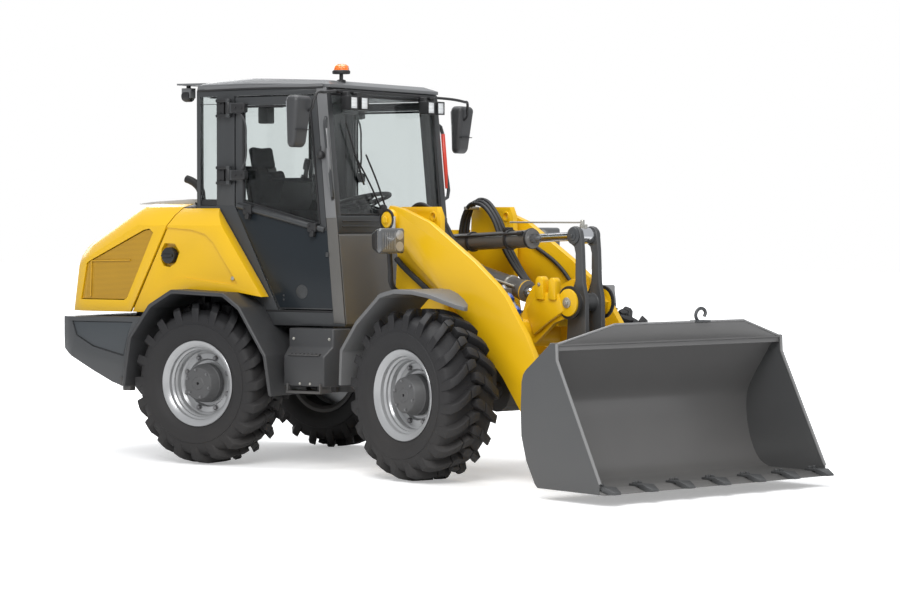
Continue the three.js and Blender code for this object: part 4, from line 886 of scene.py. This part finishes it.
inside_mirror = joined([slab(0.80, 0.812, -0.40, -0.20, 2.33, 2.42, 0.005),
                        pipe([(0.81, -0.30, 2.40), (0.83, -0.30, 2.43), (0.84, -0.30, 2.455)], 0.006, 3)])
settle(inside_mirror, "inside_mirror", REAR, BLACK, "rear_body")

# ================================================================ doors
# Each door is a grey frame round bonded glass, with a blue-black sheet below a round belt rail.
# Two cast hinges carry it behind, a gas strut holds it open, and two clamps sit on the rail.
DOOR_SHEET = sprayed("door_sheet", (0.012, 0.016, 0.020), 0.34, dust=0.03, coat=0.10)
DOOR_SHEET.node_tree.nodes["Principled BSDF"].inputs["Specular IOR Level"].default_value = 0.25
RUBBER_BLACK = sprayed("seal_rubber", (0.010, 0.010, 0.011), 0.7, dust=0.05)
for side in ("right", "left"):
    edged(f"{side}_door", 0.0045, CAB_DARK, 2, 40)
sheet = soften(plate([(0.176, 1.712), (0.912, 1.548), (0.958, 1.048), (0.517, 1.048), (0.172, 1.672)],
                     -0.6945, -0.6890), 0.0025, 2)
pair(sheet, "door_sheet", REAR, DOOR_SHEET, "{side}_door")
WINDOW = [(0.222, 2.380), (0.222, 1.752), (0.832, 1.602), (0.757, 2.380)]
seal_run = [bar((x0, -0.690, z0), (x1, -0.690, z1), 0.0075, 12)
            for (x0, z0), (x1, z1) in zip(WINDOW, WINDOW[1:] + WINDOW[:1])]
pair(joined(seal_run), "door_window_seal", REAR, RUBBER_BLACK, "{side}_door")
clamps = []
for x, z in ((0.271, 1.694), (0.790, 1.578)):
    clamps.append(slab(x - 0.034, x + 0.034, -0.728, -0.692, z - 0.030, z + 0.030, 0.007))
    clamps.append(slab(x - 0.010, x + 0.022, -0.738, -0.700, z - 0.062, z - 0.020, 0.006))
    clamps.append(hex_bolt((x - 0.018, -0.727, z + 0.008), (0, -1, 0), 0.006, 0.006))
pair(joined(clamps), "belt_rail_clamps", REAR, BLACK, "{side}_door")
knuckles = []
for z in (2.372, 1.925):
    knuckles.append(slab(0.150, 0.262, -0.738, -0.694, z - 0.030, z + 0.030, 0.008))
    knuckles.append(bar((0.118, -0.722, z - 0.038), (0.118, -0.722, z + 0.038), 0.0185, 24, 0.003))
    for dx in (0.185, 0.235):
        knuckles.append(hex_bolt((dx, -0.737, z), (0, -1, 0), 0.008, 0.007))
pair(joined(knuckles), "door_hinge_arms", REAR, BLACK, "{side}_door")
fixed_leaves = []
for z in (2.423, 2.321, 1.976, 1.874):
    fixed_leaves.append(slab(0.020, 0.120, -0.733, -0.690, z - 0.010, z + 0.010, 0.004))
for z in (2.372, 1.925):
    fixed_leaves.append(slab(0.012, 0.074, -0.712, -0.690, z - 0.062, z + 0.062, 0.006))
    for dz in (-0.036, 0.036):
        fixed_leaves.append(hex_bolt((0.043, -0.712, z + dz), (0, -1, 0), 0.008, 0.007))
pair(joined(fixed_leaves), "door_hinge_leaves", REAR, BLACK, "rear_body")
stay = pipe([(0.215, -0.712, 2.335), (0.238, -0.704, 2.290), (0.247, -0.700, 2.15), (0.243, -0.704, 2.02),
             (0.222, -0.712, 1.965)], 0.0065, 3)
pair(stay, "door_stay_rod", REAR, CHASSIS_PAINT, "{side}_door")
latches = [bar((0.693, -0.689, 1.154), (0.693, -0.697, 1.154), 0.046, 36, 0.003),
           bar((0.693, -0.696, 1.154), (0.693, -0.699, 1.154), 0.036, 36, 0.002),
           slab(0.885, 0.909, -0.704, -0.690, 1.385, 1.415, 0.004)]
latches += [hex_bolt((0.548, -0.694, z), (0, -1, 0), 0.006, 0.005) for z in (1.100, 1.128)]
pair(joined(latches), "door_vent_and_lock", REAR, CAB_DARK, "{side}_door")
sill_seal = slab(0.40, 0.93, -0.692, -0.684, 1.018, 1.032, 0.003)
pair(sill_seal, "door_sill_seal", REAR, RUBBER_BLACK, "rear_body")

# ================================================================ lamps, mirrors and wipers
# Four square work lamps hang from a bar at the roof's front edge, an amber beacon stands above it.
# The mirrors are tapered shells on long tubes, sleeves cover the grab rails (the right one's lighter grey
# is a painted highlight), a round lamp looks back from the roof, and one wiper sweeps the windscreen.
LAMP_GLASS = sprayed("lamp_lens", (0.80, 0.82, 0.83), 0.08, drift=0.02, dust=0.02, coat=0.8)
HEAD_GLASS = sprayed("headlamp_glass", (0.115, 0.118, 0.121), 0.10, drift=0.25, grain=30, dust=0.02,
                     metallic=0.3, coat=0.9)
AMBER = sprayed("beacon_amber", (0.95, 0.20, 0.012), 0.12, drift=0.08, grain=60, dust=0.02, coat=0.9)
MIRROR_SHELL = sprayed("mirror_shell", (0.040, 0.041, 0.043), 0.42, dust=0.05, bump=0.15, grain=900)
SILVERING = sprayed("mirror_glass", (0.80, 0.82, 0.84), 0.03, drift=0.01, dust=0.02, metallic=1.0)
RAIL_RED = sprayed("rail_red", (0.62, 0.040, 0.018), 0.35, dust=0.03, coat=0.3)
edged("light_bar", 0.006, BLACK, 2)
lenses, bezels = [], []
for y in (0.420, 0.545):
    lenses.append(slab(1.004, 1.0075, -y - 0.037, -y + 0.037, 2.360, 2.432, 0.001))
    for k in range(3):
        lenses.append(slab(1.007, 1.0095, -y - 0.033, -y + 0.033, 2.372 + 0.022 * k, 2.378 + 0.022 * k,
                           0.001))
    for dz in (2.355, 2.437):
        bezels.append(slab(0.996, 1.012, -y - 0.044, -y + 0.044, dz - 0.004, dz + 0.004, 0.002))
    for dy in (-0.0415, 0.0415):
        bezels.append(slab(0.996, 1.012, -y + dy - 0.004, -y + dy + 0.004, 2.353, 2.439, 0.002))
    for k in range(4):
        bezels.append(slab(0.930, 0.936, -y - 0.034 + 0.022 * k, -y - 0.028 + 0.022 * k, 2.365, 2.428,
                           0.001))
pair(joined(lenses), "work_lamp_lenses", REAR, LAMP_GLASS, "rear_body")
pair(joined(bezels), "work_lamp_bezels", REAR, BLACK, "rear_body")


def upright_turned(outline, steps):
    """A piece turned about a standing axis from (radius, height) points."""
    return spun([(radius, 0, height) for radius, height in outline], steps, (0, 0, 1))


beacon_at = Matrix.Translation((0.830, -0.430, 0))
beacon_foot = upright_turned([(0.004, 2.540), (0.030, 2.540), (0.030, 2.552), (0.013, 2.558),
                              (0.013, 2.592), (0.058, 2.594), (0.060, 2.600), (0.060, 2.612),
                              (0.054, 2.618), (0.004, 2.618)], 40)
beacon_foot.data.transform(beacon_at)
settle(beacon_foot, "beacon_foot", REAR, BLACK, "rear_body")
dome = upright_turned([(0.004, 2.616), (0.052, 2.616), (0.054, 2.622), (0.050, 2.626), (0.053, 2.631),
                       (0.049, 2.636), (0.051, 2.641), (0.046, 2.648), (0.034, 2.656),
                       (0.018, 2.6592), (0.004, 2.6595)], 40)
dome.data.transform(beacon_at)
settle(dome, "beacon_dome", REAR, AMBER, "rear_body", ("beacon",))


def pod(low, high, rounding, shape):
    """A moulded shell: a box with well rounded edges, then drawn in by shape at each point."""
    alone()
    bpy.ops.mesh.primitive_cube_add(size=1, location=(Vector(low) + Vector(high)) / 2,
                                    scale=Vector(high) - Vector(low))
    bpy.ops.object.transform_apply(location=True, rotation=True, scale=True)
    piece = soften(bpy.context.object, rounding, 6)
    for vertex in piece.data.vertices:
        vertex.co = shape(*vertex.co)
    return piece


def mirror_shape(x, y, z):
    """Narrows the mirror's shell towards its foot."""
    down = (2.428 - z) / 0.333
    depth = 1 - 0.9 * max(0, down - 0.5)
    width = 1 - 0.24 * down
    return (0.842 + (x - 0.842) * depth, -1.020 + (y + 1.020) * width, z)


mirror_shell = pod((0.842, -1.113, 2.095), (0.946, -0.927, 2.428), 0.036, mirror_shape)
pair(mirror_shell, "mirror_shell", REAR, MIRROR_SHELL, "rear_body", ("{side}_mirror",))
mirror_arm = pipe([(0.917, -0.600, 2.473), (0.917, -0.640, 2.473), (0.977, -0.730, 2.466),
                   (0.998, -0.880, 2.452), (0.985, -0.940, 2.446), (0.972, -0.962, 2.400),
                   (0.960, -0.972, 2.345), (0.915, -0.972, 2.325)], 0.0095, 4)
pair(mirror_arm, "mirror_arm", REAR, BLACK, "rear_body")
mirror_face = soften(plate([(-1.088, 2.392), (-1.066, 2.135), (-0.974, 2.135), (-0.952, 2.392)],
                           0.8385, 0.8435, "x"), 0.002)
pair(mirror_face, "mirror_glass", REAR, SILVERING, "rear_body")
mirror_band = joined([slab(0.868, 0.936, -1.090, -0.950, 2.205, 2.211, 0.002),
                      bar((0.905, -0.972, 2.335), (0.905, -0.972, 2.425), 0.018, 20, 0.004)])
pair(mirror_band, "mirror_clamp", REAR, BLACK, "rear_body")
drum = joined([bar((-0.385, -0.530, 2.470), (-0.325, -0.530, 2.470), 0.040, 32, 0.008),
               bar((-0.392, -0.530, 2.470), (-0.384, -0.530, 2.470), 0.034, 32, 0.003),
               slab(-0.362, -0.342, -0.545, -0.515, 2.500, 2.545, 0.004)])
settle(drum, "rear_work_lamp", REAR, BLACK, "rear_body")
left_sleeve = bar((nose_x(2.225) + 0.001, 0.7315, 2.225), (nose_x(1.845) + 0.001, 0.7315, 1.845),
                  0.0145, 20, 0.002)
settle(left_sleeve, "left_rail_sleeve", REAR, RAIL_RED, "rear_body")
# The right rail is dark grey; its lighter silver sleeve is a painted highlight.
near_rail_highlight_sleeve = bar((nose_x(2.225), -0.730, 2.225), (nose_x(1.845), -0.730, 1.845), 0.0145, 20, 0.002)
settle(near_rail_highlight_sleeve, "right_rail_highlight_sleeve", REAR, CAB_SILVER, "rear_body")
wiper = []
for foot_y, tip_y, z0, z1 in ((-0.16, -0.44, 1.700, 2.060), (-0.10, -0.30, 1.700, 2.060)):
    wiper.append(pipe([(nose_x(z0) + 0.012, foot_y, z0), (nose_x(1.88) + 0.022, (foot_y + tip_y) / 2, 1.88),
                       (nose_x(z1) + 0.016, tip_y, z1)], 0.006, 3))
wiper.append(bar((nose_x(1.86) + 0.008, -0.34, 1.86), (nose_x(2.27) + 0.008, -0.50, 2.27), 0.007, 8))
wiper.append(bar((nose_x(1.700) - 0.004, -0.13, 1.700), (nose_x(1.700) + 0.026, -0.13, 1.700), 0.030, 24,
                 0.005))
wiper.append(slab(nose_x(1.68), nose_x(1.68) + 0.022, -0.20, -0.06, 1.672, 1.700, 0.005))
settle(joined(wiper), "windscreen_wiper", REAR, BLACK, "rear_body")
alone()
bpy.ops.mesh.primitive_uv_sphere_add(segments=24, ring_count=14, radius=0.030,
                                     location=(0.862, -0.725, 2.050))
bpy.ops.object.transform_apply(location=True)
camera_ball = joined([bpy.context.object,
                      bar((0.862, -0.690, 2.050), (0.862, -0.725, 2.050), 0.010, 16),
                      bar((0.862, -0.725, 2.075), (0.862, -0.725, 2.110), 0.006, 12)])
settle(camera_ball, "corner_camera", REAR, BLACK, "rear_body")

# ================================================================ front frame and tower
# A yellow welded box between the front wheels, with two tower plates that hold the boom.
# Black hoses climb out of the hinge, loop over between the plates and run down to the nose.
HOSE = sprayed("hose_rubber", (0.013, 0.013, 0.014), 0.55, drift=0.08, grain=900, dust=0.1, bump=0.3)
edged("front_frame", 0.006, YELLOW, 2, 35)
tower_edge = bar((1.752, -0.336, 1.650), (1.752, -0.284, 1.650), 0.034, 32, 0.003)
carve(tower_edge, bar((1.752, -0.40, 1.650), (1.752, -0.20, 1.650), 0.0245, 32), Matrix.Identity(4))
pair(tower_edge, "lifting_eye_ring", FRONT, YELLOW, "front_body")
hoses = []
for k in range(3):
    y = 0.20 + 0.030 * k
    hoses.append(pipe([(1.36, y, 1.05), (1.38, y, 1.45), (1.47, y - 0.01, 1.70 + 0.012 * k),
                       (1.60, y - 0.03, 1.735 + 0.012 * k), (1.76, y - 0.05, 1.66),
                       (1.93, y - 0.07, 1.42), (2.10, 0.14 + 0.02 * k, 1.24),
                       (2.30, 0.12 + 0.02 * k, 1.12)], 0.0135, 4))
for k in range(2):
    y = -0.22 - 0.032 * k
    hoses.append(pipe([(1.37, y, 1.05), (1.375, y, 1.50), (1.46, y, 1.70 + 0.014 * k),
                       (1.62, y + 0.02, 1.68 + 0.014 * k), (1.78, y + 0.05, 1.48),
                       (1.92, y + 0.09, 1.24), (2.06, -0.13, 1.10)], 0.0135, 4))
settle(joined(hoses), "boom_hoses", FRONT, HOSE, "front_body")
clips = [slab(1.455, 1.485, 0.175, 0.285, 1.694, 1.716, 0.004),
         slab(1.44, 1.47, -0.265, -0.205, 1.690, 1.712, 0.004)]
settle(joined(clips), "hose_clips", FRONT, PALE_STEEL, "front_body")
valve = [slab(1.95, 2.10, -0.20, -0.06, 0.86, 0.96, 0.006),
         slab(1.98, 2.07, -0.21, -0.05, 0.96, 0.99, 0.004)]
valve += [hex_bolt((1.985 + 0.04 * k, -0.09, 0.99), (0, 0, 1), 0.014, 0.02) for k in range(3)]
settle(joined(valve), "loader_valve", FRONT, CAST_IRON, "front_body")
strut = pipe([(1.400, -0.352, 1.372), (1.480, -0.356, 1.318), (1.620, -0.356, 1.236),
              (1.745, -0.350, 1.160)], 0.019, 5)
pair(strut, "tower_strut", FRONT, BLACK, "front_body")

# ================================================================ front fenders and headlamps
# The front fenders are moulded arches that slope down past the top of the tyre, with the outer corner
# cut back in a long curve. Each headlamp is a clear lens in a black pod on a bent tube.
LOBE_GREY = sprayed("lobe_grey", (0.115, 0.116, 0.117), 0.42, dust=0.12, bump=0.15, grain=600)
HUB_X, HUB_Z = 2.165, TYRE_R
TOWARDS_HUB = 0.9593
arch = [(1.570, 0.575), (1.582, 0.800), (1.745, 0.985), (1.985, 1.165), (2.100, 1.195), (2.190, 1.190),
        (2.270, 1.166), (2.340, 1.130), (2.400, 1.102), (2.450, 1.084)]
under = [(HUB_X + TOWARDS_HUB * (x - HUB_X), HUB_Z + TOWARDS_HUB * (z - HUB_Z)) for x, z in arch]
fender = plate([*arch, *under[::-1]], -0.963, -0.549)
fender_plan = plate([(1.500, -0.545), (2.250, -0.552), (2.340, -0.562), (2.400, -0.585), (2.438, -0.620),
                     (2.438, -0.645), (2.405, -0.675), (2.330, -0.740), (2.260, -0.800), (2.170, -0.885),
                     (2.100, -0.940), (2.020, -0.966), (1.500, -0.966)], 0.500, 1.300, "z")
carve(fender, fender_plan, Matrix.Identity(4), "INTERSECT")
soften(fender, 0.009, 3, 20)
fender = joined([fender, slab(1.795, 1.840, -0.560, -0.331, 0.995, 1.029)])
pair(fender, "front_fender_shell", FRONT, LOBE_GREY, "front_body", ("{side}_front_fender",))


def lamp_shape(x, y, z):
    """Draws the headlamp's pod in towards its back."""
    back = 1 - 0.32 * max(0, (1.735 - x) / 0.095)
    return (x, -0.663 + (y + 0.663) * back, 1.494 + (z - 1.494) * back)


lamp_pod = pod((1.605, -0.785, 1.404), (1.742, -0.556, 1.584), 0.042, lamp_shape)
pair(lamp_pod, "headlamp_pod", FRONT, BLACK, "front_body", ("{side}_headlight",))
lens = pod((1.706, -0.776, 1.413), (1.7575, -0.565, 1.575), 0.020, lamp_shape)
pair(lens, "headlamp_lens", FRONT, HEAD_GLASS, "front_body")
reflector = [slab(1.7570, 1.7590, -0.750 + 0.018 * k, -0.7475 + 0.018 * k, 1.440, 1.548, 0.001)
             for k in range(6)]
reflector += [bar((1.7570, -0.613, z), (1.7590, -0.613, z), 0.031, 32) for z in (1.532, 1.458)]
reflector.append(slab(1.7570, 1.7590, -0.650, -0.647, 1.432, 1.556, 0.001))
REFLECTOR = sprayed("reflector", (0.34, 0.345, 0.35), 0.18, drift=0.10, grain=60, dust=0.02,
                    metallic=0.4, coat=0.6)
pair(joined(reflector), "headlamp_reflectors", FRONT, REFLECTOR, "front_body")
lamp_tube = pipe([(1.63, -0.345, 1.155), (1.63, -0.50, 1.155), (1.636, -0.575, 1.20),
                  (1.645, -0.60, 1.32), (1.66, -0.62, 1.42)], 0.017, 5)
pair(lamp_tube, "headlamp_tube", FRONT, BLACK, "front_body")

# ================================================================ boom
# Two bent yellow plates joined by a tube, with a cast nose between them that carries the tilt lever.
# The feet turn on greased pins beside the tower, each under a black ring and a bolted cap.
edged("boom", 0.006, YELLOW, 2, 25)
feet = [bar((1.450, -0.4655, 1.628), (1.450, -0.480, 1.628), 0.052, 36, 0.003),
        hex_bolt((1.450, -0.480, 1.628), (0, -1, 0), 0.026, 0.014)]
pair(joined(feet), "boom_foot_caps", FRONT, YELLOW, "boom")
foot_ring = spun([(0.058, -0.466, 0), (0.058, -0.478, 0), (0.071, -0.478, 0), (0.071, -0.466, 0)], 40)
foot_ring.data.transform(Matrix.Translation((1.450, 0, 1.628)))
pair(foot_ring, "boom_foot_rings", FRONT, BLACK, "boom")
clip = joined([slab(1.490, 1.530, -0.474, -0.464, 1.560, 1.650, 0.003),
               slab(1.475, 1.515, -0.474, -0.464, 1.535, 1.572, 0.003)])
pair(clip, "boom_foot_clips", FRONT, PALE_GREY, "boom")
nose = [bar((2.850, -0.1335, 1.115), (2.850, -0.160, 1.115), 0.086, 40, 0.006),
        bar((2.636, -0.1335, 1.123), (2.636, -0.150, 1.123), 0.046, 32, 0.004)]
for x0, x1, top in ((2.580, 2.652, 1.275), (2.700, 2.765, 1.268)):
    nose.append(soften(plate([(x0, 1.130), (x0, top - 0.02), (x0 + 0.02, top), (x1 - 0.02, top),
                              (x1, top - 0.02), (x1, 1.130)], -0.186, -0.1335), 0.006))
nose.append(soften(plate([(2.470, 1.060), (2.580, 1.175), (2.765, 1.175), (2.820, 1.060), (2.700, 1.000),
                          (2.540, 0.905)], -0.168, -0.1335), 0.010))
pair(joined(nose), "boom_nose_casting", FRONT, YELLOW, "boom")
seal_ring = spun([(0.084, -0.134, 0), (0.084, -0.146, 0), (0.104, -0.146, 0), (0.104, -0.134, 0)], 44)
seal_ring.data.transform(Matrix.Translation((2.850, 0, 1.115)))
pair(seal_ring, "lever_pivot_seals", FRONT, BLACK, "boom")
pins = [bar((2.850, -0.160, 1.115), (2.850, -0.170, 1.115), 0.034, 28, 0.003),
        hex_bolt((2.850, -0.170, 1.115), (0, -1, 0), 0.016, 0.010),
        bar((2.636, -0.150, 1.123), (2.636, -0.158, 1.123), 0.024, 24, 0.003),
        hex_bolt((2.616, -0.186, 1.225), (0, -1, 0), 0.010, 0.008)]
pair(joined(pins), "boom_nose_pins", FRONT, PALE_STEEL, "boom")
cast_core = joined([slab(2.560, 2.700, -0.101, 0.101, 0.960, 1.060, 0.012),
                    slab(2.590, 2.730, -0.101, 0.101, 1.020, 1.175, 0.012)])
settle(cast_core, "boom_nose_core", FRONT, YELLOW, "boom")
BLUE_CAP = sprayed("blue_cap", (0.012, 0.060, 0.30), 0.35, dust=0.03, coat=0.3)
couplers, caps = [], []
for x, z in ((2.545, 1.075), (2.560, 1.015), (2.480, 1.150)):
    couplers.append(bar((x - 0.075, -0.300, z + 0.055), (x, -0.320, z), 0.021, 20, 0.003))
    caps.append(bar((x, -0.320, z), (x + 0.034, -0.329, z - 0.026), 0.026, 20, 0.004))
couplers.append(slab(2.400, 2.480, -0.396, -0.290, 1.100, 1.200, 0.006))
settle(joined(couplers), "hydraulic_couplers", FRONT, BOLT_STEEL, "boom")
settle(joined(caps), "coupler_caps", FRONT, BLUE_CAP, "boom")
arm_lines = []
for k in range(2):
    arm_lines.append(pipe([(2.00, -0.365 + 0.026 * k, 1.340), (2.16, -0.365 + 0.026 * k, 1.270),
                           (2.26, -0.350 + 0.02 * k, 1.210)], 0.011, 4))
arm_lines.append(pipe([(1.62, 0.385, 1.60), (1.90, 0.385, 1.47), (2.20, 0.380, 1.31),
                       (2.42, 0.33, 1.13), (2.60, 0.22, 1.05), (2.70, 0.15, 1.00)], 0.013, 4))
settle(joined(arm_lines), "boom_pipes", FRONT, HOSE, "boom")

# ================================================================ tilt lever and link
# Two thick steel plates turn on the boom's nose. The tilt cylinder pushes their top, and a short
# link at their foot turns the bucket.
LINK_GREY = sprayed("link_grey", (0.056, 0.057, 0.058), 0.42, dust=0.12, coat=0.15)
edged("tilt_lever", 0.006, LINK_GREY, 3, 25)
edged("tilt_link", 0.005, LINK_GREY, 2, 25)
top_boss = [bar((2.826, -0.0835, 1.529), (2.826, -0.094, 1.529), 0.054, 36, 0.004),
            bar((2.826, -0.094, 1.529), (2.826, -0.099, 1.529), 0.030, 28, 0.002),
            hex_bolt((2.826, -0.099, 1.529), (0, -1, 0), 0.010, 0.008)]
pair(joined(top_boss), "lever_top_bosses", FRONT, TAIL_GREY, "tilt_lever")
lever_sheave = [bar((2.850, -0.088, 1.115), (2.850, -0.0835, 1.115), 0.066, 32),
                bar((2.800, -0.0835, 0.630), (2.800, -0.095, 0.630), 0.040, 28, 0.003)]
pair(joined(lever_sheave), "lever_washers", FRONT, BOLT_STEEL, "tilt_lever")

# ================================================================ cylinders
# Steel barrels with chromed rods. The tilt cylinder carries a level indicator rod above it and a hose
# clamp on its middle, and the lift cylinder has hard pipes along its side.
BARREL_GREY = sprayed("barrel_grey", (0.105, 0.103, 0.100), 0.34, dust=0.1, coat=0.3)
CHROME = sprayed("rod_chrome", (0.72, 0.73, 0.75), 0.10, drift=0.01, dust=0.02, bump=0.0, metallic=1.0)
for barrel in ("tilt_barrel", "lift_barrel"):
    edged(barrel, 0.004, BARREL_GREY, 2, 25)
coat(CHROME, "steering_rod", "lift_rod")
edged("tilt_rod", 0.003, CHROME, 2, 25)


def between(start, end, share, lift=0.0, side=0.0):
    """A point on the line between two (x, z) pins, moved off it by lift and side."""
    (x0, z0), (x1, z1) = start, end
    length = math.hypot(x1 - x0, z1 - z0)
    across = (-(z1 - z0) / length * lift, (x1 - x0) / length * lift)
    return (x0 + (x1 - x0) * share + across[0], side, z0 + (z1 - z0) * share + across[1])


TILT = ((1.290, 1.465), (2.826, 1.529))
LIFT = ((1.560, 1.330), (2.480, 1.132))
bands = []
for share in (0.30, 0.545, 0.675):
    bands.append(bar(between(*TILT, share), between(*TILT, share + 0.012), 0.0665, 32, 0.002))
bands.append(slab(2.085, 2.125, -0.030, 0.030, 1.550, 1.580, 0.004))
for side_y in (-0.060, 0.060):
    bands.append(bar(between(*TILT, 0.10, 0.035, side_y), between(*TILT, 0.655, 0.035, side_y), 0.0085, 14))
    bands.append(bar(between(*TILT, 0.64, 0.035, side_y), between(*TILT, 0.67, 0.035, side_y), 0.015, 6))
settle(joined(bands), "tilt_barrel_lines", FRONT, BLACK, "tilt_barrel")
indicator = joined([bar((2.130, 0.0, 1.612), (2.815, 0.0, 1.612), 0.0055, 12),
                    bar((2.815, 0.0, 1.596), (2.815, 0.0, 1.628), 0.013, 16, 0.003),
                    slab(2.800, 2.850, -0.012, 0.012, 1.572, 1.600, 0.003)])
settle(indicator, "level_indicator", FRONT, PALE_STEEL, "tilt_rod")
lift_lines = []
for side_y in (-0.066, 0.066):
    lift_lines.append(bar(between(*LIFT, 0.16, 0.02, side_y), between(*LIFT, 0.74, 0.02, side_y),
                          0.0085, 14))
for share in (0.25, 0.62):
    lift_lines.append(bar(between(*LIFT, share), between(*LIFT, share + 0.02), 0.0685, 32, 0.002))
settle(joined(lift_lines), "lift_barrel_lines", FRONT, PALE_STEEL, "lift_barrel")
stripe = bar(between(*LIFT, 0.79), between(*LIFT, 0.798), 0.0705, 32)
settle(stripe, "lift_barrel_band", FRONT, YELLOW, "lift_barrel")

# ================================================================ quick coupler and bucket
# A dark welded frame at the boom's lower end hooks and locks the bucket. The bucket is rolled steel
# plate with a spill guard whose corners are cut, a bevelled lip and seven bolted teeth.
BUCKET_SIDE = sprayed("bucket_side", (0.060, 0.062, 0.064), 0.38, drift=0.08, grain=30, dust=0.12,
                      bump=0.08)
BUCKET_GREY = sprayed("bucket_grey", (0.115, 0.114, 0.113), 0.34, drift=0.10, grain=18, dust=0.14,
                      bump=0.10, coat=0.10)
BUCKET_EDGE = sprayed("bucket_edge", (0.20, 0.20, 0.20), 0.36, dust=0.08)
edged("quick_coupler", 0.005, LINK_GREY, 2, 25)
lock_bolts = [bar((3.050, -0.375, 0.300), (3.050, -0.3995, 0.300), 0.040, 32, 0.003),
              hex_bolt((3.165, -0.0935, 0.355), (0, -1, 0), 0.030, 0.014)]
pair(joined(lock_bolts), "coupler_pins", FRONT, BOLT_STEEL, "bucket")


def curved(points, steps):
    """A smooth (x, z) line through the given points."""
    line = []
    for k in range(len(points) - 1):
        a, b = points[max(k - 1, 0)], points[k]
        c, d = points[k + 1], points[min(k + 2, len(points) - 1)]
        for n in range(steps):
            t = n / steps
            line.append(tuple(0.5 * (2 * q + (r - p) * t + (2 * p - 5 * q + 4 * r - s) * t * t
                                     + (3 * q - p - 3 * r + s) * t ** 3)
                              for p, q, r, s in zip(a, b, c, d)))
    return line + [points[-1]]


BACK = curved([(3.560, 0.915), (3.470, 0.790), (3.345, 0.610), (3.312, 0.500), (3.318, 0.360),
               (3.362, 0.215), (3.430, 0.110), (3.520, 0.066)], 7)
HOLLOW = curved([(3.526, 0.084), (3.444, 0.126), (3.378, 0.224), (3.336, 0.365), (3.330, 0.498),
                 (3.360, 0.600), (3.484, 0.780), (3.572, 0.896)], 7)
SIDE = [(3.617, 0.915), (3.575, 0.912), (3.352, 0.744), (3.334, 0.722), (3.320, 0.680), (3.312, 0.500),
        (3.318, 0.360), (3.362, 0.215), (3.438, 0.082), (3.462, 0.062), (3.990, 0.062), (3.990, 0.120),
        (3.622, 0.815)]
HALF_WIDTH = 0.950
shell = plate([(3.617, 0.915)] + BACK + [(3.990, 0.062), (3.990, 0.082)] + HOLLOW + [(3.617, 0.896)],
              -HALF_WIDTH + 0.010, HALF_WIDTH - 0.010)
shell = soften(shell, 0.002, 1, 50)
guard = soften(plate([(-0.940, -0.004), (-0.540, 0.132), (0.540, 0.132), (0.940, -0.004)], -0.006, 0.006,
                     "x"), 0.002)
guard.data.transform(Matrix.Translation((3.607, 0, 0.903)) @ Matrix.Rotation(math.radians(35), 4, "Y"))
lip = soften(plate([(3.880, 0.062), (4.038, 0.062), (4.038, 0.068), (3.962, 0.091), (3.880, 0.091)],
                   -HALF_WIDTH + 0.004, HALF_WIDTH - 0.004), 0.002)
top_rib = slab(3.560, 3.612, -HALF_WIDTH + 0.02, HALF_WIDTH - 0.02, 0.868, 0.897, 0.004)
cheeks = []
for sign in (-1, 1):
    wall = plate(SIDE, sign * (HALF_WIDTH - 0.007) - 0.007, sign * (HALF_WIDTH - 0.007) + 0.007)
    cheeks.append(soften(wall, 0.002, 1, 50))
settle(joined(cheeks), "bucket_sides", FRONT, BUCKET_SIDE, "bucket")
settle(joined([shell, guard, lip, top_rib]), "bucket_shell", FRONT, BUCKET_GREY, "bucket",
       ("bucket",))
edges = []
for sign in (-1, 1):
    y = sign * (HALF_WIDTH - 0.009)
    edges.append(bar((3.6185, y, 0.912), (3.6235, y, 0.815), 0.0095, 8))
    edges.append(bar((3.6235, y, 0.815), (3.9915, y, 0.122), 0.0095, 8))
    edges.append(bar((3.612, sign * 0.932, 0.908), (3.683, sign * 0.540, 1.016), 0.0065, 8))
edges.append(bar((3.683, -0.540, 1.016), (3.683, 0.540, 1.016), 0.0065, 8))
settle(joined(edges), "bucket_edges", FRONT, BUCKET_EDGE, "bucket")


def tooth(y):
    """One bolted tooth: a strap on the lip that narrows to a flat point, with two bolts."""
    wedge = plate([(3.900, 0.091), (3.900, 0.104), (4.022, 0.106), (4.088, 0.078), (4.088, 0.066),
                   (3.996, 0.063), (3.996, 0.091)], -0.047, 0.047)
    for vertex in wedge.data.vertices:
        if vertex.co.x > 4.05:
            vertex.co.y *= 0.55
        elif vertex.co.x < 3.95:
            vertex.co.y *= 0.80
    bolts = [hex_bolt((3.932, dy, 0.104), (0, 0, 1), 0.013, 0.014) for dy in (-0.020, 0.020)]
    piece = joined([soften(wedge, 0.003)] + bolts)
    piece.data.transform(Matrix.Translation((0, y, 0)))
    return piece


teeth = [tooth(-HALF_WIDTH + 0.058 + k * (2 * HALF_WIDTH - 0.116) / 6) for k in range(7)]
for number, piece in enumerate(teeth):
    settle(piece, f"bucket_tooth_{number + 1}", FRONT, TAIL_GREY, "bucket")
hook = joined([slab(3.640, 3.712, 0.118, 0.232, 1.012, 1.024, 0.004),
               pipe([(3.680, 0.150, 1.018), (3.680, 0.132, 1.052), (3.680, 0.150, 1.086),
                     (3.680, 0.186, 1.094), (3.680, 0.214, 1.070), (3.680, 0.204, 1.046)], 0.0105, 4)])
settle(hook, "bucket_hook", FRONT, TAIL_GREY, "bucket")
